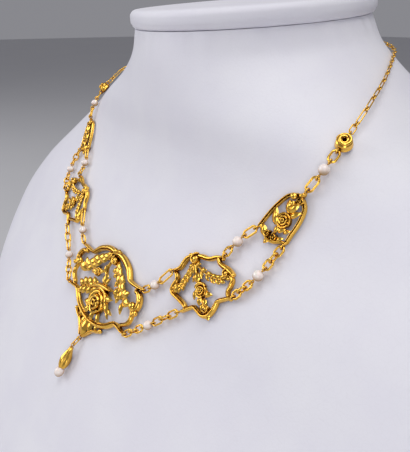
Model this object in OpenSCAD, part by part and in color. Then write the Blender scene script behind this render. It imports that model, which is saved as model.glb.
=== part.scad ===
// A gold draped necklace with openwork floral plaques and small pearls.
// It lies on a padded neck bust with a flat base. Front faces -Y, +Z is up.

/* [Bust] */
// Height of the bust up to the seam under its neck disc
bust_h = 215; // [205:1:225]
// Width across the shoulders
bust_w = 315; // [300:1:330]
// Radius of the neck disc
disc_r = 46.4; // [45.5:0.1:48]
// Thickness of the neck disc
disc_t = 6.6; // [5:0.1:9]

/* [Necklace] */
// Diameter of the round pearls
pearl_d = 3.3; // [2.8:0.1:3.6]
// Diameter of the wire of the front links
wire_d = 0.7; // [0.6:0.02:0.7]
// Width of the centre plaque across its side scrolls
centre_w = 49; // [47:0.5:50]
// Width of each side plaque
side_w = 25.4; // [24:0.1:26]
// Width of each outer plaque at its base
outer_w = 11; // [10.5:0.1:11.5]
// Diameter of the gold beads beside the neck
bead_d = 5; // [4.9:0.1:5.4]
// Length of the pendant's oval pearl
drop_pearl_l = 4.6; // [4:0.1:5]

/* [Hidden] */
// Sections of the bust from the base up, in mm at the sizes above.
// Columns: height, half width, front y, axis y, back y, squareness (2 is an ellipse)
BUST = [
    [0, 121.5, -97.5, -12.5, 90.5, 2.45],
    [20, 129, -93.5, -11.5, 91.5, 2.45],
    [45, 140, -79.5, -10, 93, 2.45],
    [85, 157, -52.5, -4.5, 95.5, 2.5],
    [117, 157.5, -31, 6.5, 97.5, 2.45],
    [140, 144, -19, 18.5, 97.5, 2.35],
    [158, 125, -8, 28.5, 96.5, 2.25],
    [172, 104.5, -4, 36, 95.5, 2.25],
    [184, 84, -4.5, 41.5, 94, 2.25],
    [195, 64.5, -4.7, 44.5, 91.5, 2.1],
    [206, 50, -4.7, 44, 88, 2],
    [215, 44.6, -4, 41, 85.5, 2]
];
last_row = len(BUST) - 1;
table_h = BUST[last_row][0];
table_w = 315;
w_scale = bust_w / table_w;
h_shift = bust_h - table_h;
// The neck's top is tilted towards the front over this height
neck_tilt = 5;
tilt_from = 185;
disc_seat = 0.05;
disc_edge = 2.4;
ring_points = 36;
ring_heights = concat([0, 6], [for (h = [22 : 17 : 158]) h], [for (h = [168 : 7 : 210]) h], [table_h]);

function blend(t) = t * t * (3 - 2 * t);
function row_at(h) = max([for (i = [0 : last_row - 1]) BUST[i][0] <= h ? i : 0]);
function slope(i, c) =
    let (a = max(i - 1, 0), b = min(i + 1, last_row))
    (BUST[b][c] - BUST[a][c]) / (BUST[b][0] - BUST[a][0]);
// Smooth curve through one column of the table
function at(h, c) =
    let (
        i = row_at(h),
        s = BUST[i + 1][0] - BUST[i][0],
        t = (h - BUST[i][0]) / s,
        near = blend(t)
    )
    BUST[i][c] * (1 - near) + BUST[i + 1][c] * near
    + s * (slope(i, c) * t * (1 - t) * (1 - t) - slope(i + 1, c) * t * t * (1 - t));
function tilt_at(h) = tan(neck_tilt) * blend(max(0, (h - tilt_from) / (table_h - tilt_from)));
function signed_pow(v, p) = sign(v) * pow(abs(v), p);
// Point of the skin: angle 0 is the front, 90 the right side, 180 the back
function skin(angle, h) =
    let (
        power = 2 / at(h, 5),
        axis_y = at(h, 3),
        depth = cos(angle) > 0 ? axis_y - at(h, 2) : at(h, 4) - axis_y,
        y = -depth * signed_pow(cos(angle), power)
    )
    [w_scale * at(h, 1) * signed_pow(sin(angle), power), axis_y + y, h + h_shift + tilt_at(h) * y];
// Front of the skin at a place across and up
function front_y(x, h) =
    let (across = abs(x) / (w_scale * at(h, 1)), square = at(h, 5), axis_y = at(h, 3))
    axis_y - (axis_y - at(h, 2)) * pow(1 - pow(across, square), 1 / square);

function unit(v) = v / norm(v);
// A place on the front of the bust: [origin, right, up, out], turned by spin, lifted off the skin
function place(x, h, lift, spin = 0) =
    let (
        e = 2,
        dx = (front_y(x + e, h) - front_y(x - e, h)) / (2 * e),
        dh = (front_y(x, h + e) - front_y(x, h - e)) / (2 * e),
        out = unit([dx, -1, dh]),
        right = unit([1, dx, 0]),
        up = cross(out, right)
    )
    [
        [x, front_y(x, h), h + h_shift] + lift * out,
        cos(spin) * right + sin(spin) * up,
        cos(spin) * up - sin(spin) * right,
        out
    ];
// A point given in a place's own right, up and out
function to_bust(p, v) = p[0] + v[0] * p[1] + v[1] * p[2] + v[2] * p[3];

module on_place(p) {
    multmatrix([
        [p[1][0], p[2][0], p[3][0], p[0][0]],
        [p[1][1], p[2][1], p[3][1], p[0][1]],
        [p[1][2], p[2][2], p[3][2], p[0][2]],
        [0, 0, 0, 1]
    ]) children();
}

// Where the plaques lie. Columns: across, height, lift of the flat back over the hollow chest, turn
CENTRE_AT = [0, 118.4, 1.15, 0];
SIDE_AT = [48.5, 138.9, 0.6, 36.6];
OUTER_AT = [64.7, 163.5, 0.8, -18.7];
function place_row(row) = place(row[0], row[1], row[2], row[3]);
centre_place = place_row(CENTRE_AT);
side_place = place_row(SIDE_AT);
outer_place = place_row(OUTER_AT);
// The tables below hold the plaques at these widths
centre_scale = centre_w / 49;
side_scale = side_w / 25.4;
outer_scale = outer_w / 11;

// Soldered rings on the plaques. Columns: right, up, direction that the ring points to
ring_r = 0.8;
ring_wire = 0.52;
ring_sides = 8;
ring_wire_sides = 5;
ring_inner = ring_r * cos(180 / ring_sides);
ring_up = 1.2;
// The lug that joins a ring to its plaque: length, height, and how far it starts under the ring's middle
ring_lug = [0.8, 1.2, 0.9];
ring_lug_in = 0.2;
CENTRE_RINGS = [[23.9, 11.1, 34], [24.3, -5.8, 43], [0, -20.2, -90]];
SIDE_RINGS = [[-11.8, 8.1, 199], [-10.8, -5.8, 185], [10.2, 7, 47], [11.5, -6.1, 23]];
OUTER_RINGS = [[-5.4, -8, 241], [5.1, -7.3, 271], [1.6, 9.2, 86]];
function ring_spot(p, row, k) = to_bust(p, [row[0] * k, row[1] * k, ring_up]);
function centre_ring(i) = ring_spot(centre_place, CENTRE_RINGS[i], centre_scale);
function side_ring(i) = ring_spot(side_place, SIDE_RINGS[i], side_scale);
function outer_ring(i) = ring_spot(outer_place, OUTER_RINGS[i], outer_scale);

// Pearls on the skin. Columns: across, height
PEARLS = [[28.9, 131.9], [32.9, 120.3], [53.65, 153], [65.6, 147.5], [70.1, 176.6]];
rest_gap = 0.4;
bore_d = 0.7;
pin_wire = 0.44;
eye_r = 0.76;
pearl_gap = 0.05;
eye_reach = pearl_d / 2 + eye_r + pin_wire / 2 + pearl_gap;
// Play between one wire and the next: in the front links, in the pearls' eyes and in the back chain
play = 0.15;
eye_play = 0.2;
chain_play = 0.17;
link_w = 2.26;
// A link's straight wires are a little thinner than its bows and sit this far in them
straight_slim = 0.95;
straight_lap = 0.06;
function pearl_place(i) = place(PEARLS[i][0], PEARLS[i][1], pearl_d / 2 + rest_gap);

// Way of the back chain to the nape, hanging free where the neck meets the shoulder
BACK = [
    [71, 20.5, 192],
    [68.8, 26.9, 194.9],
    [66.4, 32.9, 196.8],
    [63.3, 39.7, 199],
    [59.3, 47.3, 201.2],
    [54.8, 55.3, 203],
    [50.2, 63.2, 204.6],
    [44.5, 71, 205.6],
    [36, 78.7, 206.4],
    [25, 85.3, 207],
    [13, 89.4, 207.2],
    [6.5, 90.4, 207.2],
    [0, 90.4, 207.2]
];

// The bead, a low drum with an eye towards the last pearl and one towards the back chain
bead_h = 3.7;
bead_place = place(70.9, 182.9, bead_h / 2 + rest_gap);
bead_eye_in = 0.3;
bead_eye_reach = bead_d / 2 + eye_r - bead_eye_in;
bead_axes = [unit(pearl_place(4)[0] - bead_place[0]), unit(BACK[0] - bead_place[0])];
function bead_eye(i) = bead_place[0] + bead_eye_reach * bead_axes[i];
// Side of the drum. Columns: how far under its outer radius, height as a part of bead_h
BEAD_SIDE = [
    [0.6, -0.5], [0.15, -0.42], [0, -0.3], [0.2, -0.14], [0.22, 0.1], [0, 0.2], [0, 0.32], [0.35, 0.43],
    [0.9, 0.5]
];
bead_hole_d = 1.1;
bead_rim_d = 2.3;
bead_rim_wire = 0.7;
bead_rim_in = 0.1;

// Runs of links. Columns: start, its way out, end, its way out, pearl number, links before and after it
RUNS = [
    [centre_ring(0), centre_place[3], side_ring(0), side_place[3], 0, 1, 1],
    [centre_ring(1), centre_place[3], side_ring(1), side_place[3], 1, 3, 3],
    [side_ring(2), side_place[3], outer_ring(0), outer_place[3], 2, 1, 1],
    [side_ring(3), side_place[3], outer_ring(1), outer_place[3], 3, 3, 3],
    [outer_ring(2), outer_place[3], bead_eye(0), bead_place[3], 4, 1, 1]
];
function run_mid(i) = pearl_place(RUNS[i][4])[0];
function run_axis(i) = unit(unit(run_mid(i) - RUNS[i][0]) + unit(RUNS[i][2] - run_mid(i)));
function run_eye(i, s) = run_mid(i) + s * eye_reach * run_axis(i);
// Way out half way between the pearl and the run's end on side s
function run_out(i, s) = unit(pearl_place(RUNS[i][4])[3] + RUNS[i][s < 0 ? 1 : 3]);
// How far past the middle of a ring or eye a link's own wire lies in it
function hook(r, wire, room, link = wire_d) = r - (wire + link) / 2 - room;

// Back chain: a broad first link, then small and long ones in turn
ROUTE = concat([bead_eye(1)], BACK);
chain_wire = 0.42;
first_l = 3.1;
first_w = 1.7;
small_l = 1.75;
small_w = 1.2;
long_w = 1.15;
long_count = 18;
clasp_l = 7;
clasp_r = 1.4;
clasp_tip_l = 1;
clasp_tip_r = 0.5;
clasp_eye = clasp_l / 2 + 0.6;
function leg(i) = norm(ROUTE[i + 1] - ROUTE[i]);
function run_to(i) = i == 0 ? 0 : run_to(i - 1) + leg(i - 1);
route_l = run_to(len(ROUTE) - 1) - clasp_eye;
function leg_at(s) = max([for (i = [0 : len(ROUTE) - 2]) run_to(i) <= s ? i : 0]);
function route(s) =
    let (i = leg_at(s), t = (s - run_to(i)) / leg(i))
    ROUTE[i] * (1 - t) + ROUTE[i + 1] * t;
chain_lap = chain_wire + chain_play;
chain_hook = eye_r - (pin_wire + chain_wire) / 2 - chain_play;
links_l = route_l - 2 * chain_hook - first_l - (long_count + 1) * small_l + (2 * long_count + 1) * chain_lap;
long_l = links_l / long_count;
chain_pitch = long_l + small_l - 2 * chain_lap;
neck_axis = [0, 42, 180];

// Pendant: the fluted cap lies on the chest, its eye just under the centre plaque's tip ring
cap_l = 8.6;
cap_r = 2.2;
drop_r = drop_pearl_l * 0.41;
drop_place = place(0, 94.4, cap_r + rest_gap);
cap_neck = 0.2;
drop_ring_w = 1.6;
drop_ring_wire = 0.54;
cap_neck_in = 1;
cap_eye_up = cap_l / 2 + cap_neck + eye_r + pin_wire / 2;
cap_eye = to_bust(drop_place, [0, cap_eye_up, 0]);
flutes = 8;
flute_depth = 0.16;
// The pearl sits this far in the cap, on a peg
pearl_in = 0.45;
peg_l = 2;
peg_root = 2.4;
peg_end_gap = 0.3;
// Hollow of the cap's lower end: depth and radius as a part of cap_r, at its lip and at its bottom
CAP_HOLLOW = [[0.3, 0.56], [1.6, 0.3]];
pearl_drop = cap_l / 2 + drop_pearl_l / 2 - pearl_in;
// Columns: distance down the cap, radius as a part of cap_r
CAP = [[0, 0.37], [0.8, 0.42], [2, 0.6], [3.6, 0.84], [5.2, 1], [6.6, 0.98], [7.9, 0.84], [8.6, 0.7]];

// Relief of the gold work over a plaque's back face
gold_colour = "#e0b13a";
pearl_colour = "#f3ece6";
leather_colour = "#ececf1";
frame_h = 1.5;
leaf_z = 0.53;
mid_z = 0.73;
tip_z = 0.28;
leaf_rise = 0.4;
stem_h = 1.05;
// Neighbours that overlap lie this much lower or higher than each other
layer_step = 0.038;
knob_sides = 6;
petal_sides = 6;
petal_twist = 9;

// Centre plaque: right half of its scroll bands. Columns: right, up, width
C_TOP = [[2.4, 15.9, 1.7], [5.5, 15.8, 2.2], [8.7, 14.8, 2.3], [11.3, 13.6, 2.2], [13.3, 11.9, 1.8],
    [14.9, 10.6, 1.4], [17.8, 10.4, 1.3], [20.8, 10.6, 1.4], [23.1, 10.9, 1]];
// The curls that its two top scrolls end in.
// Columns: right and up of its eye, inner and outer radius, angle it starts and ends at, width there
C_VOLUTES = [[0.9, 13.2, 0.5, 2, 560, 105, 0.8, 1.6], [-3, 14.2, 0.4, 1.6, -380, 65, 0.7, 1.4]];
C_POST = [[20.4, 10.7, 1.2], [20, 9.4, 1.2], [20.4, 8.2, 1.2]];
C_SIDE = [[20, 8.4, 0.9], [21.6, 8.9, 1.5], [23.3, 7.8, 2], [24.3, 5.9, 2.2], [24, 3.9, 2], [22.6, 2.8, 1.6],
    [21.3, 3.3, 1.4], [21.2, 4.4, 1]];
C_LOW_SIDE = [[21.8, 2.9, 1.1], [23.1, 1.2, 1.4], [23.3, -0.7, 1.4], [22.6, -2.4, 1.4], [20.9, -3.7, 1.3],
    [19.5, -4.6, 1.3], [19.6, -5.9, 1.2]];
C_BOTTOM = [[23.5, -5.9, 1], [21.6, -6.1, 1.3], [19.5, -5.9, 1.4], [16.6, -5.8, 1.5], [14.8, -6.8, 1.7],
    [12.4, -8.7, 1.8], [9.3, -10.3, 1.9], [6.3, -11.3, 1.9], [2.5, -11.9, 1.7], [0, -12, 1.5]];
C_KNOB = [24.7, 2.4, 1.1];
C_STEM = [[1.6, 12.6, 0.8], [5, 11.2, 0.9], [8.3, 9.1, 0.9], [10.8, 6.6, 0.9], [13.2, 4.2, 0.9],
    [16.6, 3.3, 0.8], [20.7, 3.9, 0.8]];
C_DROP_STEM = [[-0.4, 13.2, 0.9], [-1.8, 9.4, 0.9], [-0.8, 6, 0.9], [0.2, 2.4, 0.9]];
C_RIBBON = [[-5.2, 1.3, 0.8], [-2.6, 2.5, 1.5], [0.4, 2, 1.6], [3, 2.4, 1.5], [5.4, 1.6, 0.8]];
// Leaves in pairs along the garland. Columns: how many pairs, length, width, opening angle
C_GARLAND = [5, 5.2, 3.2, 42];
// Leaves between the garlands and round the rose. Columns: right, up, direction, length, width
C_MID_LEAVES = [
    [0.3, 2.4, 84, 5, 2.9], [-2.1, 6.4, 84, 3.6, 3], [-1, 5.2, 156, 3.4, 1.9], [-1.6, 8.3, 18, 3.4, 1.9],
    [-2.6, 2.4, 168, 4.6, 2.4], [-4.4, 1.4, 208, 3.8, 2.3], [-1.4, 2.6, 128, 3.6, 2],
    [1.2, 1.6, 22, 4.8, 2.3], [3.4, -2.5, 3, 8.6, 2.4], [3.8, -3.9, -13, 6.4, 2.4],
    [9.4, -4.7, -20, 5, 2.4], [9, -4.6, -78, 3.2, 2], [1, -7.6, -93, 4.3, 3],
    [-1.6, -7, -128, 5.2, 2.7], [3.6, -7, -52, 5.2, 2.7], [-2, -5.4, 196, 5, 2.7]
];
C_FLOWERS = [[9.4, 3.7, 1.6], [9.2, -4.1, 1.6]];
C_ROSE = [0.9, -4.4, 4.8];
// Serrated leaf at the lower left: its rib, and pairs of leaflets as in the garland
C_FERN = [[-2.7, 1.1, 1], [-7, -0.8, 1], [-11, -2.4, 0.9], [-14, -4, 0.8]];
C_FERN_LEAFLETS = [4, 4.2, 2.8, 46];
// Acanthus leaf at the bottom, right half and middle
C_TIP = [[1.5, -11.6, -67, 6.5, 3.6], [3.5, -11.4, -40, 6, 3.4], [5.7, -10.9, -17, 5.2, 2.6]];
C_TIP_MIDDLE = [0, -11.6, -90, 8.2, 4.6];

// Side plaque: strokes of its frame as seen. Columns: right, up, width
S_FRAME = [
    [[-0.6, 10.2, 1.4], [1.4, 9.2, 1.6], [3.1, 8.2, 1.4], [4.7, 7.7, 1.3], [6.8, 7.5, 1.3], [9.5, 6.6, 1]],
    [[7.6, 7.4, 1.1], [7.7, 5.6, 1.3], [8.8, 4.1, 1.5], [10.1, 2.9, 1.7], [11.3, 1.5, 1.6],
        [12.6, 0.1, 0.9]],
    [[11, 0.6, 1.1], [11.6, -1, 1.3], [10.8, -2.5, 1.2], [9.7, -3.6, 1.1], [9.4, -4.7, 1.1], [9.6, -6, 1.1]],
    [[10.8, -6, 1], [7.6, -5.8, 1.2], [5.4, -5.9, 1.2], [4.4, -6.9, 1.3], [2.9, -8.2, 1.4],
        [0.9, -9.2, 1.5], [-1.4, -8.6, 1.4], [-3.3, -6.4, 1.3], [-4.7, -5.4, 1.2], [-9.9, -5.7, 1.1]],
    [[-7.9, -5.6, 1.2], [-8, -4.3, 1.3], [-9.1, -2.9, 1.4], [-10.5, -1.3, 1.5], [-11.9, 0.1, 1.5],
        [-12.9, 1.2, 1.4], [-12.8, 2.7, 1.4], [-11.6, 3.9, 1.4], [-10.4, 4.8, 1.3], [-10.2, 6.2, 1.3],
        [-10.9, 7.8, 1.1]],
    [[-11.2, 8, 1], [-8.4, 8.5, 1.3], [-6.7, 9.8, 1.5], [-5.1, 10.7, 1.6], [-2.8, 10.9, 1.2]]
];
S_STEMS = [
    [[-2.6, 8.4, 0.8], [-4.4, 5.8, 0.9], [-6.5, 3.9, 0.9], [-8.6, 2.2, 0.9], [-12.2, 1.6, 0.9]],
    [[-1.9, 8.4, 0.8], [0.6, 4.9, 0.9], [3, 2.6, 0.9], [5.4, 1.1, 0.9], [7.8, 0.3, 0.9], [11, 0.6, 0.9]],
    [[-2.2, 9.1, 0.8], [-2, 4.6, 0.8], [-1, 0, 0.8], [-0.6, -4.6, 0.8], [0.9, -9, 0.8]]
];
S_GARLAND = [4, 3.4, 2.2, 40];
S_LEAVES = [
    [-2.1, 6, 246, 2.8, 1.6], [-2.1, 3.3, 202, 2.8, 1.5], [-1.8, 3.4, -25, 2.8, 1.5], [0.6, -1.8, -18, 4, 2],
    [-1, -2.4, -70, 2.8, 2], [-0.8, -3.8, 220, 2.8, 1.6], [-0.2, -4.8, -35, 3, 1.7],
    [0.2, -6.4, -150, 2.8, 1.5], [0.7, -7.2, -20, 2.8, 1.6], [0.9, -8.8, -88, 2.4, 1.8],
    [-11.3, 1.4, 76, 3.6, 2.2]
];
S_ROSE = [-0.8, 0.1, 2.9];
S_KNOBS = [[-3.3, 11.1, 0.8], [-1.8, 9.4, 1.7], [10, -0.2, 1], [12.2, 0.3, 0.7]];

// Outer plaque: strokes of its arch and base as seen. Columns: right, up, width
O_FRAME = [
    [[0.6, 6.9, 0.9], [2.2, 6.1, 1.1], [3.6, 4.9, 1.1], [4.4, 2.9, 1.2], [4.8, -0.1, 1.2], [4.8, -3.4, 1.2],
        [4.9, -6.4, 1.1]],
    [[1.4, 7.6, 0.8], [-0.6, 6.6, 1.3], [-2.3, 5.6, 1.2], [-3.4, 3.8, 1.2], [-4.3, 0.8, 1.2],
        [-4.9, -2.6, 1.2], [-5.2, -5.8, 1.2], [-5.3, -7.4, 1]],
    [[-5.2, -6.2, 1], [-3.8, -7.2, 1.5], [-2, -8, 1.6], [-0.6, -8.6, 1.4], [1.2, -8.2, 1.4],
        [2.8, -7.2, 1.4], [4.9, -6.2, 1]]
];
O_STEM = [[0.4, 6.6, 0.8], [0.1, 2, 0.8], [0, -3, 0.8], [-0.5, -8.4, 0.8]];
O_LEAVES = [
    [0.1, 2.4, 92, 3.6, 2.2], [0, 1, 140, 3.3, 1.6], [0.1, 1, 42, 3.3, 1.6], [-1, -1.6, 162, 4, 2],
    [1.2, -1.8, -4, 3.8, 1.8], [0, -3, -28, 3.8, 1.9], [0, -3.2, 208, 3.8, 1.8], [-3.4, -6.8, 96, 3.2, 2.2],
    [3.1, -6.4, 78, 2.6, 1.6], [-0.6, -8.2, -95, 2, 1.6]
];
O_ROSE = [0.1, -0.6, 2.4];
O_KNOBS = [[1.3, 7.7, 0.7], [-1.1, 5.9, 1.1], [2.1, 5.2, 0.9], [-1.5, -6.9, 1.1], [1, -7, 1.1]];

// Rows of points joined smoothly, with steps points to each gap
function catmull(a, b, c, d, t) =
    b + 0.5 * t * (c - a + t * (2 * a - 5 * b + 4 * c - d + t * (3 * (b - c) + d - a)));
function smooth(rows, steps) =
    let (n = len(rows) - 1)
    concat(
        [
            for (i = [0 : n - 1], k = [0 : steps - 1])
                catmull(rows[max(i - 1, 0)], rows[i], rows[i + 1], rows[min(i + 2, n)], k / steps)
        ],
        [rows[n]]
    );
// Rows for a band that curls from its eye outwards
function curl(row, n = 7) = [
    for (i = [0 : n])
        let (t = i / n, angle = row[4] + (row[5] - row[4]) * t, r = row[2] + (row[3] - row[2]) * t)
        [row[0] + r * cos(angle), row[1] + r * sin(angle), row[6] + (row[7] - row[6]) * t]
];
function flipped(rows) = [for (r = rows) [-r[0], r[1], r[2]]];

// Both halves of the necklace come from the right one
module on_side(s) {
    if (s > 0) children();
    else mirror([1, 0, 0]) children();
}

// Skin from ring to ring, closed at both ends. Rings run clockwise as seen along the loft
module loft(rings) {
    n = len(rings[0]);
    m = len(rings);
    points = [for (ring = rings) each ring];
    polyhedron(
        points = points,
        faces = concat(
            [[for (k = [0 : n - 1]) k]],
            [for (k = [0 : m - 2], i = [0 : n - 1]) [k * n + i, (k + 1) * n + i, k * n + (i + 1) % n]],
            [
                for (k = [0 : m - 2], i = [0 : n - 1])
                    [k * n + (i + 1) % n, (k + 1) * n + i, (k + 1) * n + (i + 1) % n]
            ],
            [[for (k = [n - 1 : -1 : 0]) (m - 1) * n + k]]
        ),
        convexity = 6
    );
}

// A gold band along its rows: flat back, walls up to this part of its height, and a crest
module band(rows, height, wall = 0.55) {
    last = len(rows) - 1;
    sections = [
        for (i = [0 : last])
            let (
                along = unit([
                    rows[min(i + 1, last)][0] - rows[max(i - 1, 0)][0],
                    rows[min(i + 1, last)][1] - rows[max(i - 1, 0)][1]
                ]),
                half = rows[i][2] / 2,
                across = [-along[1] * half, along[0] * half],
                x = rows[i][0],
                y = rows[i][1]
            )
            concat(
                [[x - across[0], y - across[1], 0], [x + across[0], y + across[1], 0]],
                wall > 0 ? [[x + across[0], y + across[1], height * wall]] : [],
                [[x, y, height]],
                wall > 0 ? [[x - across[0], y - across[1], height * wall]] : []
            )
    ];
    loft(sections);
}

// Children that lie i layers higher
module layer(i) {
    translate([0, 0, i * layer_step]) children();
}

module leaves(rows, z = leaf_z) {
    for (i = [0 : len(rows) - 1]) layer(i % 7) leaf(rows[i], z);
}

// A thin stem: a plain ridge along its rows
module stem(rows) {
    band(rows, stem_h, 0);
}

// A pointed leaf, flat beneath, rising to a rib. Columns of its row: right, up, direction, length, width
module leaf(row, z = leaf_z) {
    l = row[3];
    w = row[4] / 2;
    edge = [
        [-0.08 * l, 0], [0.2 * l, w], [0.62 * l, 0.82 * w], [l, 0], [0.62 * l, -0.82 * w], [0.2 * l, -w]
    ];
    rib = [0.12 * l, 0.72 * l];
    translate([row[0], row[1], z]) rotate([0, 0, row[2]])
        hull()
            polyhedron(
                points = concat(
                    [for (p = edge) [p[0], p[1], 0]],
                    [for (x = rib) [x, 0, leaf_rise + 0.4 * w]]
                ),
                faces = [
                    [0, 5, 4, 3, 2, 1], [0, 1, 6], [1, 2, 7], [1, 7, 6], [2, 3, 7], [3, 4, 7], [4, 5, 7],
                    [5, 6, 7], [5, 0, 6]
                ]
            );
}

// Leaves left and right along a stem, largest half way, the right ones a little higher and further on.
// Columns of size: how many a side, length, width, opening angle
module sprig(rows, size, z = leaf_z) {
    path = smooth(rows, size[0]);
    stride = len(rows) - 1;
    for (k = [1 : size[0]], s = [0, 1]) {
        j = k * stride - floor(stride / 2);
        step = [path[j][0] - path[j - 1][0], path[j][1] - path[j - 1][1]];
        base = [path[j - 1][0], path[j - 1][1]] + 0.4 * s * step;
        grow = 0.72 + 0.28 * sin(180 * k / (size[0] + 1));
        direction = atan2(step[1], step[0]) + (s == 0 ? size[3] : -size[3]);
        lift = layer_step * (2 * s + k % 2);
        leaf([base[0], base[1], direction, size[1] * grow, size[2] * grow], z + lift);
    }
}

module knob(row) {
    translate([row[0], row[1], max(0.85 * row[2], 0.9)]) sphere(row[2], $fn = knob_sides);
}

// An open rose: a ring of broad petals, a ring of small ones and a heart
module rose(row) {
    r = row[2];
    translate([row[0], row[1], 0.5]) {
        cylinder(r1 = r * 0.8, r2 = r * 0.55, h = r * 0.3, $fn = petal_sides);
        for (k = [0 : 4])
            layer(k) rotate([0, 0, 72 * k + 20]) translate([r * 0.6, 0, r * 0.1])
                rotate([0, -26, petal_twist])
                    cylinder(r1 = r * 0.42, r2 = r * 0.38, h = r * 0.14, $fn = petal_sides);
        for (k = [0 : 2])
            layer(k) rotate([0, 0, 120 * k + 50]) translate([r * 0.28, 0, r * 0.26])
                rotate([0, -40, petal_twist])
                    cylinder(r1 = r * 0.3, r2 = r * 0.27, h = r * 0.12, $fn = petal_sides);
        cylinder(r1 = r * 0.2, r2 = r * 0.12, h = r * 0.5, $fn = 6);
    }
}

// Small five-petal flower
module flower(row) {
    r = row[2];
    translate([row[0], row[1], 0.4]) {
        linear_extrude(1)
            polygon([for (i = [0 : 9]) (i % 2 == 0 ? r : r * 0.55) * [cos(36 * i), sin(36 * i)]]);
        cylinder(r1 = r * 0.5, r2 = r * 0.2, h = 1.5, $fn = 6);
    }
}

// Soldered ring that stands on edge and points away from the plaque
module edge_ring(row, k) {
    translate([row[0] * k, row[1] * k, ring_up]) rotate([0, 0, row[2]]) {
        rotate([90, 0, 0]) rotate_extrude($fn = ring_sides)
            translate([ring_r, 0]) circle(d = ring_wire, $fn = ring_wire_sides);
        translate([ring_lug_in - ring_r - ring_lug[0], -ring_wire / 2, -ring_lug[2]])
            cube([ring_lug[0], ring_wire, ring_lug[1]]);
    }
}

module bust() {
    color(leather_colour)
        loft([
            for (h = ring_heights)
                [for (i = [0 : ring_points - 1]) skin(360 * i / ring_points, h)]
        ]);
}

module neck_disc() {
    color(leather_colour)
        translate([0, at(table_h, 3), bust_h + disc_seat]) rotate([neck_tilt, 0, 0]) rotate_extrude($fn = 96)
            union() {
                square([disc_r - disc_edge, disc_t]);
                translate([0, disc_edge]) square([disc_r, disc_t - 2 * disc_edge]);
                translate([disc_r - disc_edge, disc_edge]) circle(disc_edge, $fn = 40);
                translate([disc_r - disc_edge, disc_t - disc_edge]) circle(disc_edge, $fn = 40);
            }
}

module centre_plaque() {
    color(gold_colour) on_place(centre_place) {
        scale(centre_scale) {
            layer(0) band(concat(curl(C_VOLUTES[0]), C_TOP), frame_h + 0.5);
            layer(1) band(concat(curl(C_VOLUTES[1]), flipped(C_TOP)), frame_h + 0.3);
            for (s = [0, 1]) layer(4 * s) mirror([s, 0, 0]) {
                layer(2) band(C_POST, frame_h, 0);
                layer(3) band(C_SIDE, frame_h + 0.5);
                layer(4) band(C_LOW_SIDE, frame_h, 0);
                layer(5) band(C_BOTTOM, frame_h);
                layer(6) stem(C_STEM);
                knob(C_KNOB);
                sprig(C_STEM, C_GARLAND);
                leaves(C_TIP, tip_z);
            }
            layer(11) stem(C_DROP_STEM);
            layer(12) band(C_RIBBON, frame_h + 0.6);
            leaves(C_MID_LEAVES, mid_z);
            for (row = C_FLOWERS) flower(row);
            rose(C_ROSE);
            layer(13) stem(C_FERN);
            sprig(C_FERN, C_FERN_LEAFLETS);
            layer(7) leaf(C_TIP_MIDDLE, tip_z);
            translate([-0.5, -19.6, tip_z]) cube([1, 1.6, 1.2]);
        }
        for (row = CENTRE_RINGS) edge_ring(row, centre_scale);
        mirror([1, 0, 0]) for (i = [0, 1]) edge_ring(CENTRE_RINGS[i], centre_scale);
    }
}

module side_plaque() {
    color(gold_colour) on_place(side_place) {
        scale(side_scale) {
            for (i = [0 : 5]) layer(i) band(S_FRAME[i], frame_h, 0);
            for (i = [0 : 2]) layer(6 + i) stem(S_STEMS[i]);
            for (i = [0, 1]) layer(i) sprig(S_STEMS[i], S_GARLAND);
            leaves(S_LEAVES);
            for (row = S_KNOBS) knob(row);
            rose(S_ROSE);
        }
        for (row = SIDE_RINGS) edge_ring(row, side_scale);
    }
}

module outer_plaque() {
    color(gold_colour) on_place(outer_place) {
        scale(outer_scale) {
            for (i = [0 : 2]) layer(i) band(O_FRAME[i], frame_h);
            layer(3) stem(O_STEM);
            leaves(O_LEAVES);
            for (row = O_KNOBS) knob(row);
            rose(O_ROSE);
        }
        for (row = OUTER_RINGS) edge_ring(row, outer_scale);
    }
}

// A frame with its right along one line and its out as near as can be to another
function along(mid, line, out) =
    let (u = unit(line), up = unit(cross(out, u)))
    [mid, u, up, cross(u, up)];

// A closed oval of wire from a to b, lying across side. Its straight wires sit a little way into the bows
module oval_link(a, b, side, w, wire) {
    reach = (norm(b - a) - w) / 2;
    on_place(along((a + b) / 2, b - a, side)) {
        for (s = [0, 180])
            rotate([0, 0, s]) translate([reach, 0, 0]) rotate([0, 0, -90])
                rotate_extrude(angle = 180, $fn = 32) translate([w / 2, 0]) circle(d = wire, $fn = 20);
        for (s = [-1, 1])
            translate([-reach - straight_lap, s * w / 2, 0]) rotate([0, 90, 0])
                cylinder(d = wire * straight_slim, h = 2 * (reach + straight_lap), $fn = 20);
    }
}

module eye(mid, line, side) {
    on_place(along(mid, line, side))
        rotate_extrude($fn = 32) translate([eye_r, 0]) circle(d = pin_wire, $fn = 20);
}

// Links between two rings or eyes, each turned a quarter from the last
module run_links(a, b, out, count, hook_a, hook_b) {
    u = unit(b - a);
    lap = wire_d + play;
    l = (norm(b - a) - hook_a - hook_b + (count - 1) * lap) / count;
    across = unit(cross(out, u));
    upright = cross(u, across);
    for (k = [0 : count - 1]) {
        start = a + (hook_a + k * (l - lap)) * u;
        oval_link(start, start + l * u, k % 2 == 0 ? upright : across, link_w, wire_d);
    }
}

module links(i) {
    ring_hook = hook(ring_inner, ring_wire, play);
    eye_hook = hook(eye_r, pin_wire, eye_play);
    end_hook = i == len(RUNS) - 1 ? eye_hook : ring_hook;
    color(gold_colour) {
        run_links(RUNS[i][0], run_eye(i, -1), run_out(i, -1), RUNS[i][5], ring_hook, eye_hook);
        run_links(run_eye(i, 1), RUNS[i][2], run_out(i, 1), RUNS[i][6], eye_hook, end_hook);
    }
}

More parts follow.
